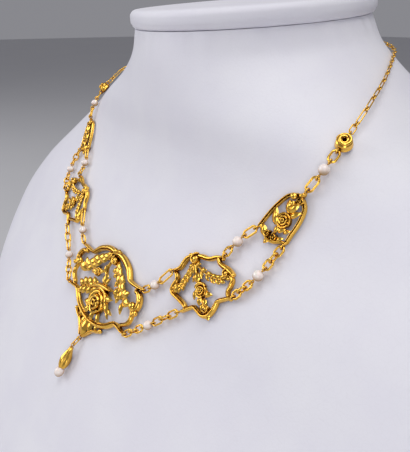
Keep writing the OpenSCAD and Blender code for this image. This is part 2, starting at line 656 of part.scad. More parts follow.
module pearl(i) {
    color(pearl_colour)
        difference() {
            translate(run_mid(i)) sphere(d = pearl_d, $fn = 64);
            on_place(along(run_mid(i), run_axis(i), run_out(i, 1)))
                rotate([0, 90, 0]) cylinder(d = bore_d, h = 2 * pearl_d, center = true, $fn = 24);
        }
}

module pin(i) {
    straight = 2 * (eye_reach - eye_r);
    color(gold_colour) {
        on_place(along(run_mid(i), run_axis(i), run_out(i, 1)))
            rotate([0, 90, 0]) cylinder(d = pin_wire, h = straight, center = true, $fn = 20);
        for (s = [-1, 1]) eye(run_eye(i, s), run_axis(i), cross(run_axis(i), run_out(i, s)));
    }
}

// A grooved drum with an eye at each end and a raised ring round a small recess that faces out
module bead() {
    color(gold_colour) {
        on_place(bead_place) {
            difference() {
                rotate_extrude($fn = 64)
                    polygon(concat(
                        [[0, -bead_h / 2]],
                        [for (row = BEAD_SIDE) [bead_d / 2 - row[0], row[1] * bead_h]],
                        [[0, bead_h / 2]]
                    ));
                cylinder(d = bead_hole_d, h = bead_h, $fn = 24);
            }
            translate([0, 0, bead_h / 2 - bead_rim_in]) rotate_extrude($fn = 48)
                translate([bead_rim_d / 2, 0]) circle(d = bead_rim_wire, $fn = 20);
        }
        eye(bead_eye(0), bead_axes[0], cross(bead_axes[0], bead_place[3]));
        eye(bead_eye(1), bead_axes[1], cross(bead_axes[1], chain_out(bead_eye(1))));
    }
}

// Way out from the neck at a point of the chain
function chain_out(p) = unit([p[0], p[1] - neck_axis[1], 12]);

module chain_link(start, l, w, flat) {
    a = route(start);
    b = route(start + l);
    out = chain_out((a + b) / 2);
    oval_link(a, b, flat ? out : cross(b - a, out), w, chain_wire);
}

module back_chain() {
    after_first = chain_hook + first_l - chain_lap;
    color(gold_colour) {
        chain_link(chain_hook, first_l, first_w, true);
        for (k = [0 : long_count]) chain_link(after_first + k * chain_pitch, small_l, small_w, false);
        for (k = [0 : long_count - 1])
            chain_link(after_first + k * chain_pitch + small_l - chain_lap, long_l, long_w, true);
    }
}

// Plain barrel clasp of one piece at the nape
module clasp() {
    mid = ROUTE[len(ROUTE) - 1];
    color(gold_colour) {
        translate(mid) rotate([0, 90, 0])
            cylinder(r = clasp_r, h = clasp_l - 2 * clasp_tip_l, center = true, $fn = 40);
        for (s = [-1, 1]) {
            translate(mid + [s * (clasp_l / 2 - clasp_tip_l), 0, 0]) rotate([0, s * 90, 0])
                cylinder(r1 = clasp_r, r2 = clasp_tip_r, h = clasp_tip_l, $fn = 40);
            eye(mid + [s * clasp_eye, 0, 0], [1, 0, 0], chain_out(mid));
        }
    }
}

module pendant_ring() {
    a = centre_ring(2);
    u = unit(cap_eye - a);
    color(gold_colour)
        oval_link(
            a + hook(ring_inner, ring_wire, play, drop_ring_wire) * u,
            cap_eye - hook(eye_r, pin_wire, eye_play, drop_ring_wire) * u,
            centre_place[3],
            drop_ring_w,
            drop_ring_wire
        );
}

// Fluted teardrop cap, hollow at its lower end, with a peg for the pearl and an eye on a short neck
module pendant_cap() {
    points_round = 2 * flutes;
    rows = concat(CAP, [for (row = CAP_HOLLOW) [cap_l - row[0], row[1]]]);
    color(gold_colour)
        on_place(drop_place) {
            rotate([90, 0, 0]) translate([0, 0, -cap_l / 2]) {
                loft([
                    for (row = rows)
                        [
                            for (i = [0 : points_round - 1])
                                let (
                                    angle = 360 * i / points_round,
                                    r = cap_r * row[1] * (i % 2 == 0 ? 1 : 1 - flute_depth)
                                )
                                [r * cos(angle), r * sin(angle), row[0]]
                        ]
                ]);
                translate([0, 0, cap_l - peg_root])
                    cylinder(d = pin_wire, h = peg_root - pearl_in + peg_l, $fn = 20);
                translate([0, 0, -cap_neck - pin_wire / 2])
                    cylinder(d = pin_wire, h = cap_neck + cap_neck_in, $fn = 20);
            }
            translate([0, cap_eye_up, 0]) rotate([0, 90, 0])
                rotate_extrude($fn = 32) translate([eye_r, 0]) circle(d = pin_wire, $fn = 20);
        }
}

// Oval pearl, drilled for the peg
module pendant_pearl() {
    half = drop_pearl_l / 2;
    color(pearl_colour)
        on_place(drop_place) translate([0, -pearl_drop, 0]) rotate([90, 0, 0])
            difference() {
                rotate_extrude($fn = 64)
                    polygon(concat(
                        [[0, -half]],
                        [for (a = [-80 : 10 : 80]) [drop_r * cos(a), half * sin(a)]],
                        [[0, half]]
                    ));
                translate([0, 0, -half - 1]) cylinder(d = bore_d, h = 1 + peg_l + peg_end_gap, $fn = 24);
            }
}

bust();
neck_disc();
centre_plaque();
on_side(1) side_plaque();  // side_plaque_r
on_side(-1) side_plaque();  // side_plaque_l
on_side(1) outer_plaque();  // outer_plaque_r
on_side(-1) outer_plaque();  // outer_plaque_l
on_side(1) pearl(0);  // pearl_inner_upper_r
on_side(1) pearl(1);  // pearl_inner_lower_r
on_side(1) pearl(2);  // pearl_outer_upper_r
on_side(1) pearl(3);  // pearl_outer_lower_r
on_side(1) pearl(4);  // pearl_top_r
on_side(-1) pearl(0);  // pearl_inner_upper_l
on_side(-1) pearl(1);  // pearl_inner_lower_l
on_side(-1) pearl(2);  // pearl_outer_upper_l
on_side(-1) pearl(3);  // pearl_outer_lower_l
on_side(-1) pearl(4);  // pearl_top_l
on_side(1) pin(0);  // pin_inner_upper_r
on_side(1) pin(1);  // pin_inner_lower_r
on_side(1) pin(2);  // pin_outer_upper_r
on_side(1) pin(3);  // pin_outer_lower_r
on_side(1) pin(4);  // pin_top_r
on_side(-1) pin(0);  // pin_inner_upper_l
on_side(-1) pin(1);  // pin_inner_lower_l
on_side(-1) pin(2);  // pin_outer_upper_l
on_side(-1) pin(3);  // pin_outer_lower_l
on_side(-1) pin(4);  // pin_top_l
on_side(1) links(0);  // links_inner_upper_r
on_side(1) links(1);  // links_inner_lower_r
on_side(1) links(2);  // links_outer_upper_r
on_side(1) links(3);  // links_outer_lower_r
on_side(1) links(4);  // links_top_r
on_side(-1) links(0);  // links_inner_upper_l
on_side(-1) links(1);  // links_inner_lower_l
on_side(-1) links(2);  // links_outer_upper_l
on_side(-1) links(3);  // links_outer_lower_l
on_side(-1) links(4);  // links_top_l
on_side(1) bead();  // bead_r
on_side(-1) bead();  // bead_l
pendant_ring();
pendant_cap();
pendant_pearl();
on_side(1) back_chain();  // chain_r
on_side(-1) back_chain();  // chain_l
clasp();
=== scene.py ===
import math
import bpy
import numpy as np
from mathutils import Matrix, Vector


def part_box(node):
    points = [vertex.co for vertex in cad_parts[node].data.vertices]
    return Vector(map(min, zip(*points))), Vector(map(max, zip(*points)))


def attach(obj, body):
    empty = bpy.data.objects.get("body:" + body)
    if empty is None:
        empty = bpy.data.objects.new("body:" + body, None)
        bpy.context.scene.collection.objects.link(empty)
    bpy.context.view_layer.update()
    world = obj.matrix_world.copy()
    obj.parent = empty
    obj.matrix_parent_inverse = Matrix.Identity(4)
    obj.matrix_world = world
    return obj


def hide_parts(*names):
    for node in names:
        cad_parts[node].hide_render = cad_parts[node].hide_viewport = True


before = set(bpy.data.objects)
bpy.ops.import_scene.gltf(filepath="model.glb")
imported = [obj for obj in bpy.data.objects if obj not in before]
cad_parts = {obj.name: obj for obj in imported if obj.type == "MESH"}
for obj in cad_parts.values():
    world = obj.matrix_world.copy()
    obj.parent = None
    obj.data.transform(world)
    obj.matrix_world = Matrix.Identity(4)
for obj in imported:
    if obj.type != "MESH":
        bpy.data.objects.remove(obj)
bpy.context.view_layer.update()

# Shapes are worked out in millimetres and put into the meshes in metres
MM = 0.001

# The bust's sections from its base up, as the solid has them.
# Columns: height, half width, front y, axis y, back y, squareness (2 is an ellipse)
BUST = np.array([
    [0, 121.5, -97.5, -12.5, 90.5, 2.45],
    [20, 129, -93.5, -11.5, 91.5, 2.45],
    [45, 140, -79.5, -10, 93, 2.45],
    [85, 157, -52.5, -4.5, 95.5, 2.5],
    [117, 157.5, -31, 6.5, 97.5, 2.45],
    [140, 144, -19, 18.5, 97.5, 2.35],
    [158, 125, -8, 28.5, 96.5, 2.25],
    [172, 104.5, -4, 36, 95.5, 2.25],
    [184, 84, -4.5, 41.5, 94, 2.25],
    [195, 64.5, -4.7, 44.5, 91.5, 2.1],
    [206, 50, -4.7, 44, 88, 2],
    [215, 44.6, -4, 41, 85.5, 2],
])
BUST_H = BUST[-1, 0]
HALF_WIDTH, FRONT, AXIS, BACK, SQUARE = 1, 2, 3, 4, 5
NECK_TILT = math.radians(5)
TILT_FROM = 185
DISC_R = 46.4
DISC_T = 6.6
DISC_EDGE = 2.6
DISC_GAP = 0.05

# Where the plaques, the drop and the bead lie on the bust.
# Columns: across, height, lift of the flat back or the middle, turn in degrees
CENTRE_AT = (0, 118.4, 1.15, 0)
SIDE_AT = (48.5, 138.9, 0.6, 36.6)
OUTER_AT = (64.7, 163.5, 0.8, -18.7)
DROP_AT = (0, 94.4, 2.6, 0)
BEAD_AT = (70.9, 182.9, 2.25, 0)


# Numbers and curves

def unit(v):
    """The same directions, of length 1."""
    return v / np.linalg.norm(v, axis=-1, keepdims=True)


def blend(t):
    """Smooth step from 0 to 1."""
    t = np.clip(t, 0, 1)
    return t * t * (3 - 2 * t)


def spline(rows, count):
    """Points on the Catmull-Rom curve through the rows, evenly spread from the first to the last."""
    rows = np.asarray(rows, float)
    last = len(rows) - 1
    at = np.linspace(0, last, count)
    i = np.minimum(at.astype(int), last - 1)
    t = (at - i)[:, None]
    a, b, c, d = (rows[np.clip(i + k, 0, last)] for k in (-1, 0, 1, 2))
    return b + 0.5 * t * (c - a + t * (2 * a - 5 * b + 4 * c - d + t * (3 * (b - c) + d - a)))


def evenly(line, spacing):
    """The same line with points about one spacing apart along its length."""
    step = np.linalg.norm(np.diff(line[:, :2], axis=0), axis=1)
    way = np.concatenate([[0], np.cumsum(step)])
    count = max(8, int(way[-1] / spacing))
    there = np.linspace(0, way[-1], count)
    return np.stack([np.interp(there, way, line[:, k]) for k in range(line.shape[1])], 1), there


# The bust's skin, by the same formula as the solid's

def at_height(h, column):
    """Hermite curve through one column of the table. At each row it has the slope between the rows beside
    it."""
    heights, value = BUST[:, 0], BUST[:, column]
    slopes = np.empty(len(BUST))
    slopes[1:-1] = (value[2:] - value[:-2]) / (heights[2:] - heights[:-2])
    slopes[0] = (value[1] - value[0]) / (heights[1] - heights[0])
    slopes[-1] = (value[-1] - value[-2]) / (heights[-1] - heights[-2])
    h = np.clip(h, 0, BUST_H)
    i = np.clip(np.searchsorted(heights, h, side="right") - 1, 0, len(heights) - 2)
    step = heights[i + 1] - heights[i]
    t = (h - heights[i]) / step
    mix = blend(t)
    bow = step * (slopes[i] * t * (1 - t) ** 2 - slopes[i + 1] * t * t * (1 - t))
    return value[i] * (1 - mix) + value[i + 1] * mix + bow


def skin(angle, h):
    """Super-ellipse of each height: angle 0 is the front, a quarter turn the right side. The neck
    leans forward."""
    power = 2 / at_height(h, SQUARE)
    axis_y = at_height(h, AXIS)
    towards = np.cos(angle)
    depth = np.where(towards > 0, axis_y - at_height(h, FRONT), at_height(h, BACK) - axis_y)
    side = np.sin(angle)
    y = -depth * np.sign(towards) * np.abs(towards) ** power
    x = at_height(h, HALF_WIDTH) * np.sign(side) * np.abs(side) ** power
    lean = math.tan(NECK_TILT) * blend((h - TILT_FROM) / (BUST_H - TILT_FROM))
    return np.stack([x, axis_y + y, h + lean * y], -1)


def front_y(x, h):
    """The super-ellipse's front at a place across, for heights below the lean."""
    square = at_height(h, SQUARE)
    across = np.abs(x) / at_height(h, HALF_WIDTH)
    axis_y = at_height(h, AXIS)
    return axis_y - (axis_y - at_height(h, FRONT)) * (1 - across ** square) ** (1 / square)


def place(across, height, lift, turn):
    """Origin, right, up and out of a place on the bust's front, lifted off its skin. The skin's slopes are
    taken over a reach to each side."""
    reach = 2.0
    dx = (front_y(across + reach, height) - front_y(across - reach, height)) / (2 * reach)
    dh = (front_y(across, height + reach) - front_y(across, height - reach)) / (2 * reach)
    out = unit(np.array([dx, -1, dh], float))
    right = unit(np.array([1, dx, 0], float))
    up = np.cross(out, right)
    c, s = math.cos(math.radians(turn)), math.sin(math.radians(turn))
    origin = np.array([across, front_y(across, height), height], float) + lift * out
    return origin, c * right + s * up, c * up - s * right, out


def to_bust(spot, parts):
    """Parts given by a place's right, up and out, put where the place is."""
    origin, right, up, out = spot
    turn = np.stack([right, up, out])
    return [(origin + points @ turn, faces) for points, faces in parts]


# Closed shapes, each a pair of points and faces

def volume(points, faces):
    """Six times the volume inside: the sum over each face's triangles, seen from the origin."""
    total = 0.0
    for face in faces:
        p = points[np.asarray(face)]
        for k in range(1, p.shape[1] - 1):
            total += np.einsum("ij,ij->", p[:, 0], np.cross(p[:, k], p[:, k + 1]))
    return total


def outward(points, faces):
    """The same closed shape with its faces turned to point outwards."""
    if volume(points - points.mean(0), faces) < 0:
        faces = [face[:, ::-1] for face in faces]
    return points, faces


def loft(rings, closed=False):
    """Skin over rings of points, row by row. Open rows end in fans round each end ring's middle."""
    m, n = rings.shape[:2]
    k = np.arange(m if closed else m - 1)[:, None]
    i = np.arange(n)[None, :]
    here, there = k * n, (k + 1) % m * n
    after = (i + 1) % n
    quads = np.stack([here + i, here + after, there + after, there + i], -1).reshape(-1, 4)
    points = rings.reshape(-1, 3)
    if closed:
        return outward(points, [quads])
    points = np.concatenate([points, rings[0].mean(0)[None], rings[-1].mean(0)[None]])
    first, last = m * n, m * n + 1
    i = np.arange(n)
    after = (i + 1) % n
    start = np.stack([np.full(n, first), after, i], -1)
    end = np.stack([np.full(n, last), (m - 1) * n + i, (m - 1) * n + after], -1)
    return outward(points, [quads, np.concatenate([start, end])])


def mirrored(parts):
    """The parts with left and right changed over, and their faces turned to point outwards again."""
    return [(points * [-1, 1, 1], [face[:, ::-1] for face in faces]) for points, faces in parts]


def ball(middle, radii, around=20, rings=12):
    """An ellipsoid: circles of sin(a), stacked at cos(a)."""
    a = np.linspace(0, math.pi, rings + 2)[1:-1, None]
    b = np.linspace(0, 2 * math.pi, around, endpoint=False)[None, :]
    circles = np.stack([np.sin(a) * np.cos(b), np.sin(a) * np.sin(b), np.cos(a) * np.ones_like(b)], -1)
    points, faces = loft(circles)
    points[-2:] = [[0, 0, 1], [0, 0, -1]]
    return outward(points * radii + middle, faces)


# A direction that no ring's axis has
OFF_AXIS = (0.3, 0.5, 0.8)


def torus(middle, axis, r, wire, around=36, sides=14):
    """A ring of round wire about an axis."""
    axis = unit(np.asarray(axis, float))
    u = unit(np.cross(axis, OFF_AXIS))
    v = np.cross(axis, u)
    a = np.linspace(0, 2 * math.pi, around, endpoint=False)[:, None, None]
    b = np.linspace(0, 2 * math.pi, sides, endpoint=False)[None, :, None]
    outwards = np.cos(a) * u + np.sin(a) * v
    rings = middle + (r + wire / 2 * np.cos(b)) * outwards + wire / 2 * np.sin(b) * axis
    return loft(rings, closed=True)


def oval(middle, along, side, length, width, wire):
    """A link: round wire carried along two half circles joined by straights."""
    u, w = unit(along), unit(side)
    v = np.cross(w, u)
    straight = (length - width) / 2
    turn = np.linspace(0, 2 * math.pi, 44, endpoint=False)
    path = width / 2 * (np.cos(turn)[:, None] * u + np.sin(turn)[:, None] * v)
    path = path + np.sign(np.cos(turn))[:, None] * straight * u
    heading = np.cos(turn)[:, None] * u + np.sin(turn)[:, None] * v
    b = np.linspace(0, 2 * math.pi, 12, endpoint=False)[None, :, None]
    rings = middle + path[:, None] + wire / 2 * (np.cos(b) * heading[:, None] + np.sin(b) * w)
    return loft(rings, closed=True)


# The goldsmith's shapes, flat backs on a plaque's plane

GROOVE_DEPTH = 0.42
GROOVE_WIDTH = 0.17


def arch_section(power, groove=0, points=17):
    """Half round above a flat back: across is cos(a), height sin(a) to a power, less a bell-shaped line cut
    at the groove's place across. Without a groove the place is 0 and nothing is cut."""
    a = np.linspace(0, math.pi, points)
    cut = GROOVE_DEPTH * np.exp(-((np.cos(a) - groove) / GROOVE_WIDTH) ** 2) if groove else 0
    top = np.stack([np.cos(a), np.sin(a) ** power - cut * np.sin(a) ** 0.5], 1)
    return np.concatenate([top, [[-0.5, 0], [0, 0], [0.5, 0]]])


ROUND = arch_section(0.75)
RIDGE = arch_section(1.5)
CHASED = arch_section(0.6, -0.38, 27)
END_STUB = 0.04
LEAST_HALF = 0.1


def band(rows, height, base=0.0, section=ROUND, spacing=0.35):
    """Metal along its rows (right, up, width): the section is carried along. Over its last half width each
    end rounds off as a quarter circle, less a stub, and the height falls with that circle's power 0.6."""
    line, way = evenly(spline(rows, 16 * len(rows)), spacing)
    heading = unit(np.gradient(line[:, :2], axis=0))
    left = np.stack([-heading[:, 1], heading[:, 0]], 1)
    half = line[:, 2] / 2
    from_end = np.minimum(way, way[-1] - way) + END_STUB
    near_end = np.clip(from_end / np.maximum(half, LEAST_HALF), 0, 1)
    full = np.sqrt(1 - (1 - near_end) ** 2)
    flat = line[:, None, :2] + left[:, None] * (half * full)[:, None, None] * section[None, :, :1]
    z = base + height * full[:, None] ** 0.6 * section[None, :, 1]
    return loft(np.concatenate([flat, z[..., None]], -1))


LEAF_T = 0.3
LEAF_BOW = 0.07


def leaf(row, z, pitch, bend, full):
    """A leaf (right, up, direction, length, width) along its rib. The outline is a sine that swells early
    and comes to a point. Each cross-section is full at the rib and falls to its edges with the power 1.5 of
    the way there. The rib climbs by its pitch and bows up as a sine, bends aside with the square of the way
    along, and the back is flat."""
    x, y, direction, length, width = row
    u = np.linspace(0, 1, 15)
    s = np.linspace(1, -1, 13)
    outline = np.sin(math.pi * (0.03 + 0.94 * u) ** 0.8) ** 0.8
    half = width / 2 * outline
    blade = full * (1 - np.abs(s) ** 1.5)
    rise = z + pitch * length * u + LEAF_BOW * length * np.sin(math.pi * u)
    top = rise[:, None] + half[:, None] * blade[None]
    bottom = np.repeat(rise[:, None] - LEAF_T, 3, 1)
    height = np.concatenate([top, bottom], 1)
    across = np.concatenate([s, [-0.7, 0, 0.7]])
    along = length * u[:, None] + 0 * across[None]
    sideways = half[:, None] * across[None] + bend * length * (u ** 2)[:, None]
    c, d = math.cos(math.radians(direction)), math.sin(math.radians(direction))
    rings = np.stack([x + c * along - d * sideways, y + d * along + c * sideways, height], -1)
    return loft(rings)


FRUIT_R = 0.15


def garland(rows, pairs, length, width, angle, z, swell):
    """Leaves in pairs along a stem, each pair over the foot of the next, with a round fruit in each fork.
    Their size swells as a sine, and is largest about half way."""
    line = spline(rows, pairs * 6 + 1)[:, :2]
    parts = [band(rows, 1.0, 0, RIDGE)]
    for k in range(pairs):
        at = line[6 * k + 1]
        way = line[6 * k + 3] - line[6 * k + 1]
        heading = math.degrees(math.atan2(way[1], way[0]))
        grow = 1 - swell + swell * math.sin(math.pi * (k + 0.7) / (pairs + 0.4))
        for side in (1, -1):
            row = (at[0], at[1], heading + side * angle, length * grow, width * grow)
            parts.append(leaf(row, z + 0.03 * (side + k % 2), pitch=0.12, bend=-0.1 * side, full=0.42))
        parts.append(ball([*line[6 * k + 4], z + 0.75], np.full(3, FRUIT_R * (0.8 + 0.4 * grow)), 14, 9))
    return parts


# In parts of the petal's reach
ROLL_FROM = 0.78
FLANK_SHORTER = 0.22
FLANK_LOWER = 0.12


def petal(x, y, turn, r_in, r_out, spread, z_in, z_out, lip, thick, swirl=0.0):
    """A petal: a fan from r_in to r_out over its spread. It climbs as a quarter sine until it rolls over, by
    its lip times the square of the way on from there. With the cube of the way across, the flanks are
    shorter and lie lower. Swirl lifts one flank over the other."""
    u = np.linspace(0, 1, 13)[:, None]
    v = np.linspace(-1, 1, 15)[None, :]
    depth = r_out - r_in
    reach = r_in + depth * u * (1 - FLANK_SHORTER * np.abs(v) ** 3)
    angle = math.radians(turn) + math.radians(spread) * v * (0.8 + 0.2 * u)
    climb = np.sin(np.clip(u / ROLL_FROM, 0, 1) * math.pi / 2)
    roll = lip * depth * (np.clip(u - ROLL_FROM, 0, 1) / (1 - ROLL_FROM)) ** 2
    droop = FLANK_LOWER * depth * np.abs(v) ** 3
    rise = z_in + (z_out - z_in) * climb - roll - droop + swirl * depth * v
    top = np.stack([x + reach * np.cos(angle), y + reach * np.sin(angle), rise], -1)
    below = top - [0, 0, thick]
    return loft(np.concatenate([top, below[:, ::-1]], 1))


# Rings of a rose, in parts of its radius.
# Columns: petals, inner radius, outer radius, spread, inner height, rim height, lip, turn, swirl
ROSE = [
    (3, 0.5, 1.0, 70, 0, 0.3, 0.6, 25, 0.16),
    (3, 0.2, 0.62, 72, 0.14, 0.46, 0.5, 70, 0.12),
]
SEAT = np.array([0.72, 0.72, 0.26])
HEART_TILT = (0.1, -0.15, 1)
HEART_UP = 0.42
HEART_R = 0.19
HEART_WIRE = 0.17


def rose(x, y, r, base, turn):
    """An open rose: two rings of cupped petals round a rolled heart with a dark eye, over a domed seat. The
    petals' size goes with a sine of their number."""
    parts = [ball([x, y, base], SEAT * r, 24, 12)]
    for count, r_in, r_out, spread, z_in, z_out, lip, offset, swirl in ROSE:
        for k in range(count):
            way = turn + offset + 360 * k / count
            size = r * (1 + 0.05 * math.sin(2.4 * k + offset))
            parts.append(petal(x, y, way, r_in * size, r_out * size, spread, base + z_in * r,
                               base + z_out * r, lip, 0.06 * r + 0.1, swirl))
    heart = np.array([x, y, base + HEART_UP * r])
    parts.append(torus(heart, HEART_TILT, HEART_R * r, HEART_WIRE * r, 28, 12))
    return parts


# In parts of the volute's radius, width and height
VOLUTE_END_R = 0.3
VOLUTE_END_WIDTH = 0.45
VOLUTE_EYE = np.array([0.62, 0.62, 0.45])
VOLUTE_EYE_UP = 0.6


def volute(x, y, r, start, turns, width, height):
    """A scroll's rolled end: a band that winds inwards round a ball. Its angle grows evenly over the turns,
    while its radius and its width fall evenly to a part of theirs."""
    t = np.linspace(0, 1, 20)
    angle = np.radians(start + 360 * turns * t)
    reach = r * (1 - (1 - VOLUTE_END_R) * t)
    narrowing = width * (1 - (1 - VOLUTE_END_WIDTH) * t)
    rows = np.stack([x + reach * np.cos(angle), y + reach * np.sin(angle), narrowing], 1)
    eye = ball([x, y, VOLUTE_EYE_UP * height], VOLUTE_EYE * r)
    return [band(rows, height, 0, ROUND, 0.2), eye]


RING_UP = 1.2
RING_R = 0.8
RING_WIRE = 0.52
LUG_FROM = RING_R + 0.9
LUG_TO = RING_R - 0.1


def edge_ring(x, y, direction):
    """A soldered ring that stands on edge, and the lug that comes to it from behind."""
    c, s = math.cos(math.radians(direction)), math.sin(math.radians(direction))
    lug = [[x - c * LUG_FROM, y - s * LUG_FROM, 0.75], [x - c * LUG_TO, y - s * LUG_TO, 0.6]]
    return [torus(np.array([x, y, RING_UP]), [-s, c, 0], RING_R, RING_WIRE), band(lug, 1.1, base=0.3)]


def edge_rings(rows):
    """A ring for each row: right, up, direction."""
    parts = []
    for row in rows:
        parts += edge_ring(*row)
    return parts


def volutes(rows):
    """A volute for each row: right, up, radius, start, turns, width, height."""
    parts = []
    for row in rows:
        parts += volute(*row)
    return parts


def balls(rows):
    """A ball for each row: right, up, height, and its radius along each of them."""
    return [ball(np.array(row[:3]), np.array(row[3:])) for row in rows]


def leaves(rows, z, full=0.5, pitch=0.05):
    """The table's leaves, each a little over or under its neighbours and bent to the other side."""
    return [leaf(row, z + 0.05 * (k % 4), pitch, 0.08 * (-1) ** k, full) for k, row in enumerate(rows)]


# The plaques, in mm on their own planes, with their leaves' and rings' directions in degrees.
# Bands: right, up, width. Leaves: right, up, direction, length, width. Rings: right, up, direction.
# Curls: right, up, radius, start, turns, width, height. Roses: right, up, radius, base, turn.
# Balls: right, up, height, radius across, radius up, radius out

# Centre plaque
C_TOP = [(0.2, 15.2, 1.5), (2.4, 16, 2), (5.5, 15.8, 2.4), (8.7, 14.8, 2.5), (11.3, 13.6, 2.4),
         (13.3, 11.9, 2.1), (14.9, 10.6, 1.7), (17.8, 10.4, 1.5), (20.8, 10.6, 1.4), (23.2, 11, 0.9)]
C_TOP_LEFT_START = (0.6, 15.7, 1.2)
C_POST = [(20.4, 10.7, 1.3), (20, 9.4, 1.3), (20.4, 8.2, 1.3)]
C_SIDE = [(20, 8.4, 0.9), (21.6, 8.9, 1.7), (23.3, 7.8, 2.3), (24.3, 5.9, 2.4), (24, 3.9, 2.2),
          (22.6, 2.8, 1.8), (21.3, 3.3, 1.5), (21.2, 4.4, 1)]
C_LOW_SIDE = [(21.8, 2.9, 1.3), (23.1, 1.2, 1.7), (23.3, -0.7, 1.7), (22.6, -2.4, 1.6), (20.9, -3.7, 1.5),
              (19.5, -4.6, 1.5), (19.6, -5.9, 1.4)]
C_BOTTOM = [(23.7, -5.9, 0.9), (21.6, -6.1, 1.4), (19.5, -5.9, 1.6), (16.6, -5.8, 1.7), (14.8, -6.8, 1.9),
            (12.4, -8.7, 2.1), (9.3, -10.3, 2.2), (6.3, -11.3, 2.2), (2.5, -11.9, 2), (-0.4, -12, 1.6)]
C_INNER = [(15.4, -5.4, 0.7), (13.4, -6.7, 0.8), (11, -8.5, 0.9), (8, -9.8, 0.9), (4.4, -10.6, 0.9)]
C_STEM = [(1.6, 12.6, 0.8), (5, 11.2, 0.9), (8.3, 9.1, 0.9), (10.8, 6.6, 0.9), (13.2, 4.2, 0.9),
          (16.6, 3.3, 0.8), (20.7, 3.9, 0.8)]
C_DROP_STEM = [(-0.4, 13.2, 0.9), (-1.8, 9.4, 0.9), (-0.6, 6, 0.9), (1.2, 2.4, 0.9)]
C_RIBBONS = [
    [(-6.2, -1.2, 0.8), (-4, 0.6, 1.9), (-0.6, 1.9, 2.2), (3.4, 2.5, 2), (6.7, 2.8, 0.8)],
    [(-3, -0.6, 0.7), (-0.4, 0.8, 1.5), (2.6, 1, 1.7), (5.2, 0.5, 0.8)],
]
# Leaves along both garlands, from the scroll down to the side, and those that hang off the right one
C_GARLAND = [
    (2.8, 13.2, -20, 5, 2.8), (5, 11.9, -16, 5.4, 3.2), (7.4, 10, -14, 5.6, 3.4), (9.8, 8, -14, 5.4, 3.4),
    (12, 6, -12, 5.2, 3.2), (14.8, 2.6, 17, 6, 3.7), (4, 12.3, -46, 4.2, 2.8), (6.6, 10.2, -46, 4.4, 3),
    (9.2, 8, -46, 4.4, 3), (11.6, 5.9, -44, 4.2, 3), (13.6, 4, 33, 5.2, 3),
]
C_HANGING = [
    (5.6, 11, 205, 3.4, 2.4), (6.6, 10, 232, 3.1, 2.4), (8.8, 7.9, 240, 3.2, 2.5), (11.2, 5.2, 226, 3.9, 3),
    (12.8, 4.9, 250, 3.3, 2.7), (15.8, 2.6, -69, 4.5, 2.8), (9.4, 4.8, -76, 3.4, 2.4),
    (12.4, 3.6, 268, 3.2, 2.4),
]
C_BUD = (-6.6, 5.2, 2, 0.6, 40)
C_BUD_LEAVES = [(-6.8, 5.4, 196, 4.6, 2.2), (-5.8, 5.8, 24, 3.6, 1.9), (-8.4, 7.2, 188, 4, 2.2)]
C_LEAVES = [
    (1.5, 3, 102, 4.9, 3.6), (1.4, 2.8, 142, 4, 1.8), (1.8, 2.6, 66, 4.2, 1.9), (-1.8, 6.6, 97, 3.6, 2.4),
    (-3.6, 1.2, 158, 4.4, 2.4), (-4.8, 0.2, 196, 4.6, 2.6), (4.4, -0.9, 10, 5.6, 2.5),
    (6.8, -2.2, -36, 4.6, 3.1), (8.8, -4, -52, 3.6, 1.9), (9.2, -3.6, -8, 3.4, 1.9),
    (1.4, -7.8, -93, 4.2, 3), (-1.6, -7.2, -128, 5.2, 2.8), (4.2, -7.2, -52, 4.8, 2.8),
    (-2.4, -6, 200, 5, 2.8),
]
# Large outer petals over the rose's upper half. Columns: turn, inner radius, outer radius, spread
C_PETALS = [(38, 4, 6.5, 34), (96, 4, 6.3, 36), (158, 4, 6.6, 36), (215, 4.2, 6, 28)]
C_ROSE = (1.1, -4.5, 4.9, 0.6, 0)
C_CREST = [(-2.4, 16.2, 10, 4, 2), (0.6, 16.9, 12, 3.6, 1.5), (-0.9, 14.9, 88, 2.6, 2.2)]
C_CURLS = [(1.7, 13.4, 1.9, 130, 1.1, 1.4, 1.9), (-3.2, 14, 1.5, 50, -1.1, 1.1, 1.6)]
C_BALLS = [(24.7, 2.4, 1, 1.1, 1.1, 1.1), (21.9, 3.9, 1.1, 1.6, 1.6, 1.3),
           (10.3, -12, 0.9, 0.85, 0.85, 0.85)]
C_FERN = [(-3.4, 0.6, 1), (-7, -0.9, 1), (-11, -2.5, 0.9), (-14.2, -4.1, 0.8)]
C_TIP = [(2.4, -11.3, -82, 5.4, 3.8), (5.4, -11.2, -46, 3.6, 2.8)]
C_POINT = (0, -11.4, -90, 8.4, 5.2)
C_KEEL = [(10.2, -12.1, 0.8), (8.4, -13.2, 1.3), (5.6, -14.4, 1.3), (3, -16.7, 1.2), (0.8, -19.3, 0.8)]
C_RINGS = [(23.9, 11.1, 34), (24.3, -5.8, 43)]
C_TIP_RING = (0, -20.2, -90)


def centre_half():
    """What the right half of the centre plaque shares with the left."""
    parts = [band(C_POST, 1.4), band(C_SIDE, 1.8, section=CHASED), band(C_LOW_SIDE, 1.5, section=CHASED),
             band(C_BOTTOM, 1.6, section=CHASED), band(C_INNER, 1, base=0.2),
             band(C_STEM, 1.1, section=RIDGE), band(C_KEEL, 1.7)]
    parts += leaves(C_GARLAND, 0.5, full=0.34, pitch=0.12) + leaves(C_TIP, 0.35, full=0.4)
    return parts + balls(C_BALLS) + edge_rings(C_RINGS)


